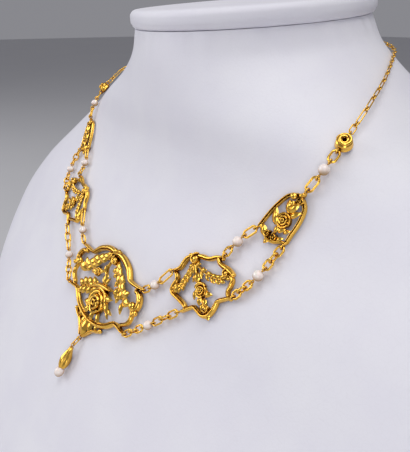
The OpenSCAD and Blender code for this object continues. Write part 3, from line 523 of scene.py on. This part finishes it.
def centre_plaque():
    """Both halves, and what only the middle has: scrolls, ribbons, fern, bud, and the rose over it all."""
    parts = centre_half() + mirrored(centre_half())
    left_top = np.array([C_TOP_LEFT_START] + C_TOP[1:]) * [-1, 1, 1]
    parts += [band(C_TOP, 1.8, section=CHASED), band(left_top[::-1], 1.7, section=CHASED)]
    parts += volutes(C_CURLS) + leaves(C_CREST, 1)
    parts += [band(row, 2.2 - 0.4 * k) for k, row in enumerate(C_RIBBONS)]
    parts.append(band(C_DROP_STEM, 1.2, section=RIDGE))
    parts += garland(C_FERN, pairs=4, length=4.6, width=3.4, angle=52, z=0.5, swell=0.3)
    parts += leaves(C_LEAVES + C_HANGING, 0.7) + leaves(C_BUD_LEAVES, 0.6) + rose(*C_BUD)
    for petal_row in C_PETALS:
        parts.append(petal(*C_ROSE[:2], *petal_row, z_in=0.6, z_out=1.8, lip=0.5, thick=0.5))
    parts.append(leaf(C_POINT, 0.6, pitch=0.02, bend=0, full=0.4))
    return parts + rose(*C_ROSE) + edge_ring(*C_TIP_RING)


# Side plaque
S_FRAME = [
    [(-0.6, 10.2, 1.5), (1.4, 9.2, 1.8), (3.1, 8.2, 1.6), (4.7, 7.7, 1.5), (6.8, 7.5, 1.5), (9.5, 6.6, 1.1)],
    [(7.6, 7.4, 1.1), (7.7, 5.6, 1.5), (8.8, 4.1, 1.7), (10.1, 2.9, 1.9), (11.3, 1.5, 1.8),
     (12.6, 0.1, 0.9)],
    [(11, 0.6, 1.1), (11.6, -1, 1.4), (10.8, -2.5, 1.3), (9.7, -3.6, 1.2), (9.4, -4.7, 1.2), (9.6, -6, 1.1)],
    [(10.8, -6, 1), (7.6, -5.8, 1.4), (5.4, -5.9, 1.4), (4.4, -6.9, 1.5), (2.9, -8.2, 1.6),
     (0.9, -9.2, 1.7), (-1.4, -8.6, 1.6), (-3.3, -6.4, 1.5), (-4.7, -5.4, 1.4), (-9.9, -5.7, 1.1)],
    [(-7.9, -5.6, 1.2), (-8, -4.3, 1.4), (-9.1, -2.9, 1.6), (-10.5, -1.3, 1.7), (-11.9, 0.1, 1.7),
     (-12.9, 1.2, 1.6), (-12.8, 2.7, 1.6), (-11.6, 3.9, 1.7), (-10.4, 4.8, 1.6), (-10.2, 6.2, 1.5),
     (-10.9, 7.8, 1.1)],
    [(-11.2, 8, 1), (-8.4, 8.5, 1.5), (-6.7, 9.8, 1.7), (-5.1, 10.7, 1.7), (-2.8, 10.9, 1.3)],
]
S_STEMS = [
    [(-2.6, 8.4, 0.7), (-4.4, 5.8, 0.8), (-6.5, 3.9, 0.8), (-8.6, 2.2, 0.8), (-12.2, 1.6, 0.8)],
    [(-1.9, 8.4, 0.7), (0.6, 4.9, 0.8), (3, 2.6, 0.8), (5.4, 1.1, 0.8), (7.8, 0.3, 0.8), (11, 0.6, 0.8)],
]
S_DROP_STEM = [(-2.2, 9.1, 0.8), (-1.8, 4.6, 0.8), (-1, 0, 0.8), (-0.6, -4.6, 0.8), (0.9, -9, 0.8)]
S_LEAVES = [
    (-2, 7.2, 240, 2.6, 1.4), (-1.7, 4.9, -84, 3.4, 2.9), (-2, 4.6, 232, 2.8, 1.4),
    (-1.4, 4.6, -48, 2.8, 1.4), (0.6, -2.4, -26, 3.2, 2), (-3, -0.4, 262, 3, 1.6), (-1.4, -3, 255, 2.6, 1.9),
    (-0.2, -4, -52, 2.8, 1.9), (-0.6, -5.2, -110, 2.6, 1.6), (0.4, -5.8, -64, 2.8, 1.8),
    (1, -8.6, -88, 2.2, 1.9), (-12, 0.8, 40, 3.6, 2.2), (-12.4, 2.6, 8, 3, 1.7),
]
S_CURLS = [(-1.5, 9.3, 1.9, 60, 1, 1.1, 1.8), (10, 1.5, 1.4, 60, 1, 0.9, 1.7),
           (0.8, -7.2, 1.2, 180, 1, 0.7, 1.6)]
S_BALLS = [(-3.3, 11.1, 0.9, 0.8, 0.8, 0.8), (12.2, 0.3, 0.9, 0.75, 0.75, 0.75)]
# Columns: right, up, turn, inner radius, outer radius, spread
S_PETAL = (-0.6, -1.4, 84, 1.5, 2.9, 62)
S_ROSE = (-0.6, -1.2, 2.4, 0.5, 70)
S_RINGS = [(-11.8, 8.1, 199), (-10.8, -5.8, 185), (10.2, 7, 47), (11.5, -6.1, 23)]


def side_plaque():
    """A lobed frame with two laurel garlands and a rose on a stem between them."""
    parts = [band(stroke, 1.5, section=CHASED) for stroke in S_FRAME]
    for stem in S_STEMS:
        parts += garland(stem, pairs=7, length=2.8, width=1.5, angle=34, z=0.55, swell=0.2)
    parts.append(band(S_DROP_STEM, 1.1, section=RIDGE))
    parts += leaves(S_LEAVES, 0.65) + volutes(S_CURLS) + balls(S_BALLS)
    parts.append(petal(*S_PETAL, z_in=0.6, z_out=1.9, lip=0.5, thick=0.4))
    return parts + rose(*S_ROSE) + edge_rings(S_RINGS)


# Outer plaque
O_FRAME = [
    [(0.6, 6.9, 1.2), (2.2, 6.1, 1.2), (3.6, 4.9, 1.2), (4.4, 2.9, 1.2), (4.8, -0.1, 1.2), (4.8, -3.4, 1.2),
     (4.9, -6.4, 1.3)],
    [(-5.3, -7.4, 1.2), (-5.2, -5.8, 1.2), (-4.9, -2.6, 1.2), (-4.3, 0.8, 1.2), (-3.4, 3.8, 1.2),
     (-2.3, 5.6, 1.2), (-0.6, 6.6, 1.4), (1.4, 7.6, 0.8)],
    [(4.9, -6.2, 1), (2.8, -7.2, 1.2), (1.2, -8.2, 1.2), (-0.6, -8.6, 1.2), (-2, -8, 1.4), (-3.8, -7.2, 1.3),
     (-5.2, -6.2, 1)],
]
O_NECK = [(0.2, 6.6, 1.6), (1, 7.4, 1.5), (1.4, 8.4, 1)]
O_STEM = [(0.4, 6.6, 0.8), (0.3, 2, 0.8), (0.3, -3, 0.8), (-0.5, -8.4, 0.8)]
O_LEAVES = [
    (0.3, 1, 112, 4, 2), (0.8, 1.2, 82, 4.6, 2.1), (1.4, 0.4, 46, 3.8, 1.7), (-0.8, -3.7, 128, 5, 2.2),
    (0.4, -4.9, 35, 2.9, 1.6), (2.6, -4.4, 55, 2.4, 1.2), (-1.8, -8.2, 134, 3.6, 2.4),
    (2, -7.4, 56, 2.6, 1.4), (0.2, -3, -95, 3.2, 1.5), (-0.6, -8.3, -95, 1.9, 1.5),
]
O_CURLS = [(1.9, 5.6, 0.95, 120, -1.4, 0.6, 1.7), (1, -7.1, 0.95, 120, -1.4, 0.6, 1.8),
           (-1.3, -7.2, 0.95, 60, 1.4, 0.7, 1.9)]
O_BALLS = [(0.2, 4.2, 1.3, 0.8, 0.8, 0.7), (-0.9, 5.9, 1.2, 1.2, 1, 0.9)]
O_ROSE = (0.5, -1.4, 2.5, 0.6, 15)
# Columns: how far aside of the frame's line, width, height
O_RAILS = [(0.28, 0.55, 1.2), (-0.38, 0.42, 1.0)]
O_RINGS = [(-5.4, -8, 241), (5.1, -7.3, 271), (1.6, 9.2, 86)]


def rail(rows, aside, width):
    """The rows moved aside to their left and given one width, as every sixth point of their curve."""
    line = spline(rows, 16 * len(rows))
    heading = unit(np.gradient(line[:, :2], axis=0))
    moved = line[:, :2] + aside * np.stack([-heading[:, 1], heading[:, 0]], 1)
    return np.column_stack([moved, np.full(len(line), width)])[::6]


def outer_plaque():
    """Two rods side by side over a thin web make the frame's sides, and a band its foot. The rose and its
    leaves stand in it."""
    parts = [band(stroke, 0.5) for stroke in O_FRAME]
    for stroke in O_FRAME[:2]:
        parts += [band(rail(stroke, aside, width), height) for aside, width, height in O_RAILS]
    parts += [band(O_FRAME[2], 1.3), band(O_NECK, 1.5), band(O_STEM, 1.0, section=RIDGE)]
    parts += leaves(O_LEAVES, 0.65) + volutes(O_CURLS) + balls(O_BALLS)
    return parts + rose(*O_ROSE) + edge_rings(O_RINGS)


# Meshes and pieces

def mesh_of(name, parts):
    """One mesh of all the parts, in metres."""
    points, faces, count = [], [], 0
    for part_points, part_faces in parts:
        points.append(part_points)
        for face in part_faces:
            faces += (face + count).tolist()
        count += len(part_points)
    mesh = bpy.data.meshes.new(name)
    mesh.from_pydata((np.concatenate(points) * MM).tolist(), [], faces)
    mesh.validate()
    return mesh


def in_scene(name, data):
    """A new object of a mesh, light or camera."""
    thing = bpy.data.objects.new(name, data)
    bpy.context.scene.collection.objects.link(thing)
    return thing


def piece(name, parts, material, node, sharp=50):
    """Puts a mesh of the parts in a CAD node's place, smooth up to the sharp angle."""
    mesh = mesh_of(name, parts)
    thing = in_scene(name, mesh)
    mesh.shade_smooth()
    mesh.set_sharp_from_angle(angle=math.radians(sharp))
    mesh.materials.append(material)
    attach(thing, "root")
    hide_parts(node)
    return thing


def node_points(node):
    """A CAD node's corners in mm and its triangles, with doubles made one."""
    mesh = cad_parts[node].data
    corners = np.zeros(len(mesh.vertices) * 3, np.float32)
    mesh.vertices.foreach_get("co", corners)
    mesh.calc_loop_triangles()
    triangles = np.zeros(len(mesh.loop_triangles) * 3, np.int32)
    mesh.loop_triangles.foreach_get("vertices", triangles)
    corners = corners.reshape(-1, 3).astype(float) / MM
    _, first, inverse = np.unique(np.round(corners, 4), axis=0, return_index=True, return_inverse=True)
    triangles = inverse.reshape(-1)[triangles].reshape(-1, 3)
    real = (triangles[:, 0] != triangles[:, 1]) & (triangles[:, 1] != triangles[:, 2])
    real &= triangles[:, 0] != triangles[:, 2]
    return corners[first], triangles[real]


def solids(node):
    """The corners of each loose solid of a CAD node. Each corner takes the lowest label among the triangles
    that it is in, until no label changes."""
    points, triangles = node_points(node)
    label = np.arange(len(points))
    while True:
        lowest = label[triangles].min(1)
        fresh = label.copy()
        for k in range(3):
            np.minimum.at(fresh, triangles[:, k], lowest)
        fresh = fresh[fresh]
        if (fresh == label).all():
            break
        label = fresh
    return [points[label == k] for k in np.unique(label)]


def smooth_copy(node):
    """A wire node's own form, its doubles merged so that it shades smoothly."""
    points, triangles = node_points(node)
    piece("gold_" + node, [(points, [triangles])], WIRE, node, 35)


def link_again(corners):
    """A smooth link of the size and place of a solid one: its axes are those of its spread."""
    centred = corners - corners.mean(0)
    _, axes = np.linalg.eigh(centred.T @ centred)
    reach = corners @ axes
    wire, width, length = np.ptp(reach, axis=0)
    middle = axes @ (reach.max(0) + reach.min(0)) / 2
    return oval(middle, axes[:, 2], axes[:, 0], length - wire, width - wire, wire)


# Finishes

class Socket:
    """A value in a material's nodes. Arithmetic on it adds Math nodes."""

    def __init__(self, finish, socket):
        self.finish, self.socket = finish, socket

    def maths(self, operation, a, b):
        """A Math node on two values or numbers."""
        return self.finish.node("ShaderNodeMath", {"operation": operation}, {0: a, 1: b})[0]

    def __add__(self, other):
        return self.maths("ADD", self, other)

    def __sub__(self, other):
        return self.maths("SUBTRACT", self, other)

    def __rsub__(self, other):
        return self.maths("SUBTRACT", other, self)

    def __mul__(self, other):
        return self.maths("MULTIPLY", self, other)

    __radd__ = __add__
    __rmul__ = __mul__


class Finish:
    """A material that is built from Principled BSDF settings and socket expressions."""

    def __init__(self, name, **constants):
        self.material = bpy.data.materials.new(name)
        self.material.use_nodes = True
        self.tree = self.material.node_tree
        self.shader = self.tree.nodes["Principled BSDF"]
        for label, value in constants.items():
            self.shader.inputs[label.replace("_", " ")].default_value = value

    def node(self, kind, settings=None, inputs=None):
        """Adds a node: its settings first, then its sockets. Returns its outputs."""
        made = self.tree.nodes.new(kind)
        for label, value in (settings or {}).items():
            setattr(made, label, value)
        for label, value in (inputs or {}).items():
            self.put(made.inputs[label], value)
        return [Socket(self, out) for out in made.outputs]

    def put(self, socket, value):
        """Links another node's socket to this one, or sets its value."""
        if isinstance(value, Socket):
            self.tree.links.new(value.socket, socket)
        else:
            socket.default_value = value

    def feed(self, **links):
        """Puts values on the shader's sockets, whose names have underscores for spaces here."""
        for label, value in links.items():
            self.put(self.shader.inputs[label.replace("_", " ")], value)

    def place(self):
        """Object coordinates, in metres."""
        return self.node("ShaderNodeTexCoord")[3]

    def noise(self, scale, detail):
        """Cloudy values from 0 to 1, with so many clouds to a metre."""
        inputs = {"Vector": self.place(), "Scale": scale, "Detail": detail, "Roughness": 0.55}
        return self.node("ShaderNodeTexNoise", {}, inputs)[0]

    def openness(self, reach):
        """1 where the surface lies open, towards 0 where others close in on it within a reach in metres."""
        return self.node("ShaderNodeAmbientOcclusion", {"samples": 8}, {"Distance": reach})[1]

    def mix(self, factor, a, b):
        """Colour a where the factor is 0, b where it is 1."""
        inputs = {"Factor": factor, 6: a, 7: b}
        return self.node("ShaderNodeMix", {"data_type": "RGBA"}, inputs)[2]

    def bump(self, height, depth, strength):
        """A normal from a height field of this depth in metres."""
        inputs = {"Height": height, "Distance": depth, "Strength": strength}
        return self.node("ShaderNodeBump", {}, inputs)[0]

    def curve(self, value, low, high):
        """0 below low, 1 above high, smooth between."""
        inputs = {"Value": value, "From Min": low, "From Max": high}
        return self.node("ShaderNodeMapRange", {"interpolation_type": "SMOOTHSTEP"}, inputs)[0]


# Colours of the finishes
# Brown of cast gold's recesses and of its walls near the bust: partly patina, partly painted shade
CAST_PATINA_AND_PAINTED_SHADE = (0.2, 0.06, 0.002, 1)
CAST_GOLD = (1.0, 0.585, 0.095, 1)
CAST_GRIME = (0.85, 0.46, 0.06, 1)
# Painted shade of the link wire where links cross
WIRE_PAINTED_SHADE = (0.24, 0.08, 0.003, 1)
WIRE_GOLD = (1.0, 0.595, 0.1, 1)
ROSY_NACRE = (1, 0.85, 0.78, 1)
CREAM_NACRE = (1, 0.92, 0.84, 1)
COOL_NACRE = (0.95, 0.82, 0.84, 1)
# Painted shade and painted reflection of the gold on the pearls' undersides
PEARL_PAINTED_SHADE = (0.5, 0.3, 0.11, 1)
LEATHER_DULL = (0.8, 0.79, 0.86, 1)
LEATHER_WHITE = (0.84, 0.835, 0.885, 1)
LEATHER_CREASE = (0.68, 0.66, 0.72, 1)
PAPER_DULL = (0.6, 0.6, 0.62, 1)
PAPER_PALE = (0.64, 0.64, 0.65, 1)


def polished_gold():
    """Yellow gold: fine casting skin and polish swirls, brown and duller in its recesses and where the bust
    comes close, partly patina and partly painted shade.
    """
    gold = Finish("polished_gold", Metallic=1.0)
    # Patina and painted shade: browner where other surfaces, the bust too, close in within 3 mm
    unshaded_metal = gold.curve(gold.openness(0.003), 0.42, 0.82)
    grime = gold.noise(900, 4)
    colour = gold.mix(unshaded_metal, CAST_PATINA_AND_PAINTED_SHADE, CAST_GOLD)
    colour = gold.mix(gold.curve(grime, 0.55, 0.75) * 0.25, colour, CAST_GRIME)
    gold.feed(Base_Color=colour, Roughness=0.2 + 0.1 * grime - 0.08 * unshaded_metal)
    casting_skin = gold.noise(2600, 2) * 0.5 + gold.noise(700, 2)
    gold.feed(Normal=gold.bump(casting_skin, 0.00002, 0.25))
    return gold.material


def wire_gold():
    """Drawn wire of the links, a little smoother, with painted shade in brown where links cross."""
    gold = Finish("wire_gold", Metallic=1.0)
    # Painted shade: brown where other links close in within 0.8 mm
    unshaded_metal = gold.curve(gold.openness(0.0008), 0.25, 0.9)
    grain = gold.noise(1500, 3)
    gold.feed(Base_Color=gold.mix(unshaded_metal, WIRE_PAINTED_SHADE, WIRE_GOLD), Roughness=0.14 + 0.12 * grain)
    gold.feed(Normal=gold.bump(grain, 0.00002, 0.4))
    return gold.material


def pearl_lustre():
    """Nacre: white with rosy and cream clouds under a clear glossy skin. Painted shade and a painted
    reflection of the gold make it golden brown underneath, by the height of its normal, and where its gold
    mounts and the bust close in on it."""
    pearl = Finish("pearl_lustre", Roughness=0.25, Coat_Weight=1.0, Coat_Roughness=0.06,
                   Subsurface_Weight=0.15, Subsurface_Scale=0.001)
    pearl.shader.inputs["Subsurface Radius"].default_value = (1.0, 0.7, 0.55)
    body = pearl.mix(pearl.curve(pearl.noise(420, 3), 0.3, 0.7), ROSY_NACRE, CREAM_NACRE)
    body = pearl.mix(pearl.noise(160, 2) * 0.4, body, COOL_NACRE)
    normal = pearl.node("ShaderNodeNewGeometry")[1]
    height = pearl.node("ShaderNodeSeparateXYZ", {}, {"Vector": normal})[2]
    # Painted light: 1 on the open upper side, towards 0 underneath and where others close in, where the
    # painted shade and gold reflection go
    painted_light = pearl.curve(pearl.openness(0.004), 0.3, 0.8) * pearl.curve(height, -0.6, 0.5)
    pearl.feed(Base_Color=pearl.mix(painted_light, PEARL_PAINTED_SHADE, body))
    pearl.feed(Normal=pearl.bump(pearl.noise(500, 2), 0.00004, 0.4))
    return pearl.material


def leatherette():
    """White leatherette: a fine pebbled grain with hair creases and broad soft undulation."""
    cloth = Finish("leatherette", IOR=1.45)
    where = cloth.place()
    warp = cloth.noise(900, 2)
    cells = {"Vector": where, "Scale": 1500.0, "Smoothness": 0.6}
    pebbles = cloth.node("ShaderNodeTexVoronoi", {"feature": "SMOOTH_F1"}, cells)[0]
    cells = {"Vector": where, "Scale": 620.0}
    edge = cloth.node("ShaderNodeTexVoronoi", {"feature": "DISTANCE_TO_EDGE"}, cells)[0]
    crease = cloth.curve(edge, 0.0, 0.06)
    broad = cloth.noise(28, 3)
    height = crease * 0.35 - pebbles * 0.8 + warp * 0.3
    colour = cloth.mix(cloth.curve(broad, 0.35, 0.7), LEATHER_DULL, LEATHER_WHITE)
    colour = cloth.mix((1 - crease) * 0.1, colour, LEATHER_CREASE)
    cloth.feed(Base_Color=colour, Roughness=0.46 + 0.12 * warp)
    cloth.feed(Normal=cloth.bump(height, 0.00005, 0.4))
    return cloth.material


def floor_paper():
    """Plain pale paper with faint broad clouds."""
    paper = Finish("floor_paper", Roughness=0.8)
    paper.feed(Base_Color=paper.mix(paper.noise(3, 4), PAPER_DULL, PAPER_PALE))
    return paper.material


GOLD, WIRE, PEARL, WHITE = polished_gold(), wire_gold(), pearl_lustre(), leatherette()


# The bust and its neck disc

# In mm, the heights above the base
TUCK_DEPTH = 0.22
TUCKS_FROM = 203
TUCKS_FULL_AFTER = 12
ROLL_DEPTH = 1.4
ROLL_H = 2.2


def bust_parts():
    """The skin's grid, with more rows near both ends. Its base edge rolls in with the square of the way
    down. Where it is drawn in under the disc it has faint tucks, a product of two sines of its angle."""
    angle = np.linspace(0, 2 * math.pi, 288, endpoint=False)[None, :]
    spread = np.linspace(0, 1, 230)
    h = (BUST_H * (0.75 * spread + 0.25 * blend(spread)))[:, None]
    points = skin(angle, h + 0 * angle)
    middle = np.stack([0 * h, at_height(h, AXIS), h], -1)
    away = unit((points - middle) * [1, 1, 0])
    tucks = np.sin(31 * angle + 2 * np.sin(3 * angle)) * np.sin(7 * angle + 1.3)
    depth = TUCK_DEPTH * blend((h - TUCKS_FROM) / TUCKS_FULL_AFTER) * tucks
    roll = -ROLL_DEPTH * (1 - np.clip(h / ROLL_H, 0, 1)) ** 2
    return [loft(points + away * (depth + roll)[..., None])]


# In mm, the seam's height above the disc's underside
SEAM_DEPTH = 0.25
SEAM_AT = 1.5
SEAM_WIDTH = 0.35
DISC_CROWN = 0.35


def disc_parts():
    """A turned slab with edges of quarter circles, a bell-shaped seam cut round its side, and a crown that
    falls with the square of the radius."""
    a = np.linspace(-math.pi / 2, math.pi / 2, 21)
    r = np.concatenate([[0.4], np.linspace(3, DISC_R - DISC_EDGE - 1, 16)])
    low = np.stack([r, 0 * r], 1)
    edge_h = DISC_T / 2 + np.sign(np.sin(a)) * (DISC_T / 2 - DISC_EDGE) + DISC_EDGE * np.sin(a)
    seam = SEAM_DEPTH * np.exp(-((edge_h - SEAM_AT) / SEAM_WIDTH) ** 2)
    edge = np.stack([DISC_R - DISC_EDGE + DISC_EDGE * np.cos(a) - seam, edge_h], 1)
    high = np.stack([r[::-1], DISC_T + DISC_CROWN * (1 - (r[::-1] / DISC_R) ** 2)], 1)
    profile = np.concatenate([low, edge, high])
    turn = np.linspace(0, 2 * math.pi, 240, endpoint=False)
    rings = np.stack([profile[:, :1] * np.cos(turn), profile[:, :1] * np.sin(turn),
                      profile[:, 1:] + 0 * turn[None]], -1)
    points, faces = loft(rings)
    c, s = math.cos(NECK_TILT), math.sin(NECK_TILT)
    tilt = np.array([[1, 0, 0], [0, c, -s], [0, s, c]])
    seat = np.array([0, at_height(BUST_H, AXIS), BUST_H + DISC_GAP])
    return [outward(points @ tilt.T + seat, faces)]


piece("neck_bust", bust_parts(), WHITE, "bust")
disc = piece("padded_neck_disc", disc_parts(), WHITE, "neck_disc")


# The necklace

PLAQUES = [
    # (node, its shape, where it lies, whether it is on the left)
    ("centre_plaque", centre_plaque, CENTRE_AT, False),
    ("side_plaque_r", side_plaque, SIDE_AT, False),
    ("side_plaque_l", side_plaque, SIDE_AT, True),
    ("outer_plaque_r", outer_plaque, OUTER_AT, False),
    ("outer_plaque_l", outer_plaque, OUTER_AT, True),
]
for node, shape, spot, on_left in PLAQUES:
    plaque = to_bust(place(*spot), shape())
    piece("cast_" + node, mirrored(plaque) if on_left else plaque, GOLD, node)

OUT_OF_ROUND = 0.012


def pearl_parts(node):
    """A pearl of its solid's size, a little out of round: its radius goes with a product of waves along two
    axes, which differ from pearl to pearl."""
    low, high = (np.array(corner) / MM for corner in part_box(node))
    middle, r = (low + high) / 2, (high - low).max() / 2
    points, faces = ball([0, 0, 0], np.full(3, 1.0), 40, 28)
    waves = np.sin(3 * points[:, 0] + middle[0]) * np.cos(2.3 * points[:, 2] + middle[2])
    lumps = 1 + OUT_OF_ROUND * waves - OUT_OF_ROUND
    return [(middle + points * r * lumps[:, None], faces)]


# The bead where front and back chain meet: a low drum under a lip that winds outwards round a dark hole

# Columns: radius, height
BEAD = [(1.9, -1.85), (2.35, -1.55), (2.5, -1.1), (2.3, -0.5), (2.28, 0), (2.3, 0.4), (2.1, 0.75),
        (1.5, 1.1), (0.9, 1.35), (0.6, 1.25), (0.52, 0.7), (0.5, -0.3)]
# How far the eyes are from the bead's middle, and the point that the back chain's eye looks to
BEAD_EYE_REACH = 2.96
CHAIN_START = (71, 20.5, 192)
# The lip in mm, from its inner end out, with its start in radians
LIP_START = 0.6
LIP_TURNS = 1.35
LIP_WIRE = 0.9
LIP_IN = 0.85
LIP_OUT = 2.15
LIP_TOP = 1.65
LIP_DROP = 0.95
# The eyes of the beads and of the drop's cap
EYE_R = 0.76
EYE_WIRE = 0.44


def bead_parts():
    """The drum's profile turned round. The lip's radius grows evenly with its turn, its height falls with
    the turn's power 1.6, and its wire goes with the root of a sine along it, thickest half way. An eye
    stands on edge towards the pearl and one towards the back chain."""
    turn = np.linspace(0, 2 * math.pi, 56, endpoint=False)
    profile = spline(BEAD, 70)
    radius, height = profile[:, :1], profile[:, 1:] + 0 * turn
    rings = np.stack([radius * np.cos(turn), radius * np.sin(turn), height], -1)
    t = np.linspace(0, 1, 110)[:, None]
    b = np.linspace(0, 2 * math.pi, 16, endpoint=False)[None, :]
    wind = 2 * math.pi * LIP_TURNS * t + LIP_START
    wire = LIP_WIRE * np.sin(math.pi * (0.1 + 0.8 * t)) ** 0.5
    r = LIP_IN + (LIP_OUT - LIP_IN) * t + wire / 2 * np.cos(b)
    z = LIP_TOP - LIP_DROP * t ** 1.6 + wire / 2 * np.sin(b)
    lip = loft(np.stack([r * np.cos(wind), r * np.sin(wind), z], -1))
    spot = place(*BEAD_AT)
    parts = to_bust(spot, [loft(rings), lip])
    pearl = sum(np.array(corner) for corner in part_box("pearl_top_r")) / 2 / MM
    for towards in (pearl, np.array(CHAIN_START)):
        way = unit(towards - spot[0])
        parts.append(torus(spot[0] + BEAD_EYE_REACH * way, np.cross(way, spot[3]), EYE_R, EYE_WIRE))
    return parts


SMOOTH_KINDS = ("pin", "links", "clasp")
SMOOTH_NODES = [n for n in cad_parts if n.split("_")[0] in SMOOTH_KINDS or n == "pendant_ring"]
for node in sorted(SMOOTH_NODES):
    smooth_copy(node)
bead = bead_parts()
piece("rolled_bead_r", bead, GOLD, "bead_r")
piece("rolled_bead_l", mirrored(bead), GOLD, "bead_l")
for node in sorted(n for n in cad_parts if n.startswith("pearl_")):
    piece("round_" + node, pearl_parts(node), PEARL, node)
for node in ("chain_r", "chain_l"):
    piece("gold_" + node, [link_again(corners) for corners in solids(node)], WIRE, node)


# The pendant: a fluted cap over an oval pearl

# Columns: way down, radius as a part of the widest
CAP_L = 8.6
CAP = [(0, 0.37), (0.8, 0.42), (2, 0.6), (3.6, 0.84), (5.2, 1), (6.6, 0.98), (7.9, 0.84), (CAP_L, 0.7)]
CAP_INSIDE = [(CAP_L - 0.2, 0.6), (CAP_L - 0.5, 0.5), (CAP_L - 1.6, 0.3)]
CAP_R = 2.2
FLUTES = 5
FLUTE_TURN = 0.72
FLUTE_DEPTH = 0.27
FLUTES_FULL_AT = 2.5
COLLAR_R = 0.24
COLLAR_RING_R = 0.72
COLLAR_RING_WIRE = 0.34
# Columns: radius, half length
DROP_PEARL = (1.886, 2.3)
DROP_PEARL_DOWN = 6.15
DROP_PEARL_FULLER = 0.03


def cap_parts():
    """Rings of the cap's profile, turned in at the lip, with a collar, its ring and the eye. Between its
    wide soft flutes it is drawn in by a raised cosine of the angle to the power 1.5, which fades at the
    neck."""
    profile = np.concatenate([spline(CAP, 60), CAP_INSIDE])
    turn = np.linspace(0, 2 * math.pi, FLUTES * 20, endpoint=False)
    valley = (0.5 + 0.5 * np.cos(FLUTES * (turn - FLUTE_TURN))) ** 1.5
    r = CAP_R * profile[:, 1:] * (1 - FLUTE_DEPTH * valley * blend(profile[:, :1] / FLUTES_FULL_AT))
    y = CAP_L / 2 - profile[:, :1] + 0 * turn
    rings = np.stack([r * np.cos(turn), y, r * np.sin(turn)], -1)
    neck = np.array([[0, CAP_L / 2 - 0.5, 0], [0, CAP_L / 2 + 0.3, 0]])
    b = np.linspace(0, 2 * math.pi, 14, endpoint=False)
    collar = neck[:, None] + COLLAR_R * np.stack([np.cos(b), 0 * b, np.sin(b)], -1)
    eye = torus(np.array([0, CAP_L / 2 + 0.2 + EYE_R + EYE_WIRE / 2, 0]), [1, 0, 0], EYE_R, EYE_WIRE)
    ring_at = np.array([0, CAP_L / 2 - 0.15, 0])
    collar_ring = torus(ring_at, [0, 1, 0], COLLAR_RING_R, COLLAR_RING_WIRE)
    return [loft(rings), loft(collar), eye, collar_ring]


def drop_parts():
    """An oval pearl along the cap's axis, evenly a little fuller towards its front."""
    points, faces = ball([0, 0, 0], np.full(3, 1.0), 44, 30)
    points = points[:, [0, 2, 1]] * [1, 1, -1]
    fuller = 1 - DROP_PEARL_FULLER * (1 - points[:, [2]])
    r, half = DROP_PEARL
    return [(points * fuller * [r, half, r] - [0, DROP_PEARL_DOWN, 0], faces)]


drop_place = place(*DROP_AT)
piece("fluted_cap", to_bust(drop_place, cap_parts()), GOLD, "pendant_cap", 40)
piece("oval_pearl", to_bust(drop_place, drop_parts()), PEARL, "pendant_pearl")


# Floor, light and camera

FLOOR_REACH = 6.0
AIM_AT = (0, 0, 0.12)
# Softboxes, in metres and watts. Columns: name, place, size, power, colour
LIGHTS = [
    ("above", (0.2, 0, 1.1), (0.8, 0.7), 4.6, (1, 0.99, 0.98)),
    ("left", (-0.75, -0.8, 0.55), (0.7, 0.6), 4.3, (0.98, 0.98, 1)),
    ("right", (0.9, -0.75, 0.25), (0.3, 0.6), 2.4, (0.97, 0.97, 1)),
    ("spark", (0.45, -0.6, 0.95), (0.14, 0.14), 0.9, (1, 0.98, 0.94)),
]
ROOM_COLOUR = (0.92, 0.92, 1, 1)
ROOM_STRENGTH = 0.27
# The photograph's camera, as solved from it: its focal length and height are in the photograph's pixels
CAMERA_AT = (151.03, -96.5, 215.0)
CAMERA_TURN = math.radians(52.7)
CAMERA_DOWN = math.radians(23.3)
FOCAL = 480
PHOTO_H = 452
SENSOR = 36.0


def floor():
    """A square of plain paper on which the part stands."""
    mesh = bpy.data.meshes.new("floor")
    corners = [(FLOOR_REACH * x, FLOOR_REACH * y, 0) for x, y in ((-1, -1), (1, -1), (1, 1), (-1, 1))]
    mesh.from_pydata(corners, [], [(0, 1, 2, 3)])
    mesh.materials.append(floor_paper())
    in_scene("floor", mesh)


def aim(thing, where, target):
    """Turns a light or camera at where to look at the target, level."""
    back = unit(np.array(where, float) - np.array(target, float))
    right = unit(np.cross([0, 0, 1], back))
    up = np.cross(back, right)
    thing.matrix_world = Matrix([[right[k], up[k], back[k], where[k]] for k in range(3)] + [[0, 0, 0, 1]])


def softbox(name, where, size, power, colour):
    """An area light that looks at the part."""
    light = bpy.data.lights.new(name, "AREA")
    light.shape = "RECTANGLE"
    light.size, light.size_y = size
    light.energy = power
    light.color = colour
    aim(in_scene(name, light), where, AIM_AT)


def camera():
    """The photograph's camera, turned to its left from straight ahead and down."""
    data = bpy.data.cameras.new("camera")
    data.sensor_width = SENSOR
    data.lens = SENSOR * FOCAL / PHOTO_H
    data.clip_start = 0.005
    data.clip_end = 50
    thing = in_scene("camera", data)
    where = np.array(CAMERA_AT) * MM
    level = math.cos(CAMERA_DOWN)
    ahead = [-math.sin(CAMERA_TURN) * level, math.cos(CAMERA_TURN) * level, -math.sin(CAMERA_DOWN)]
    aim(thing, where, where + ahead)
    bpy.context.scene.camera = thing


def room():
    """A dim room, so that the gold mirrors dark between the lights, and plain contrast in the picture."""
    studio = bpy.data.worlds.new("studio")
    studio.use_nodes = True
    background = studio.node_tree.nodes["Background"]
    background.inputs["Color"].default_value = ROOM_COLOUR
    background.inputs["Strength"].default_value = ROOM_STRENGTH
    bpy.context.scene.world = studio
    bpy.context.scene.view_settings.view_transform = "Standard"


floor()
room()
for light_row in LIGHTS:
    softbox(*light_row)
camera()
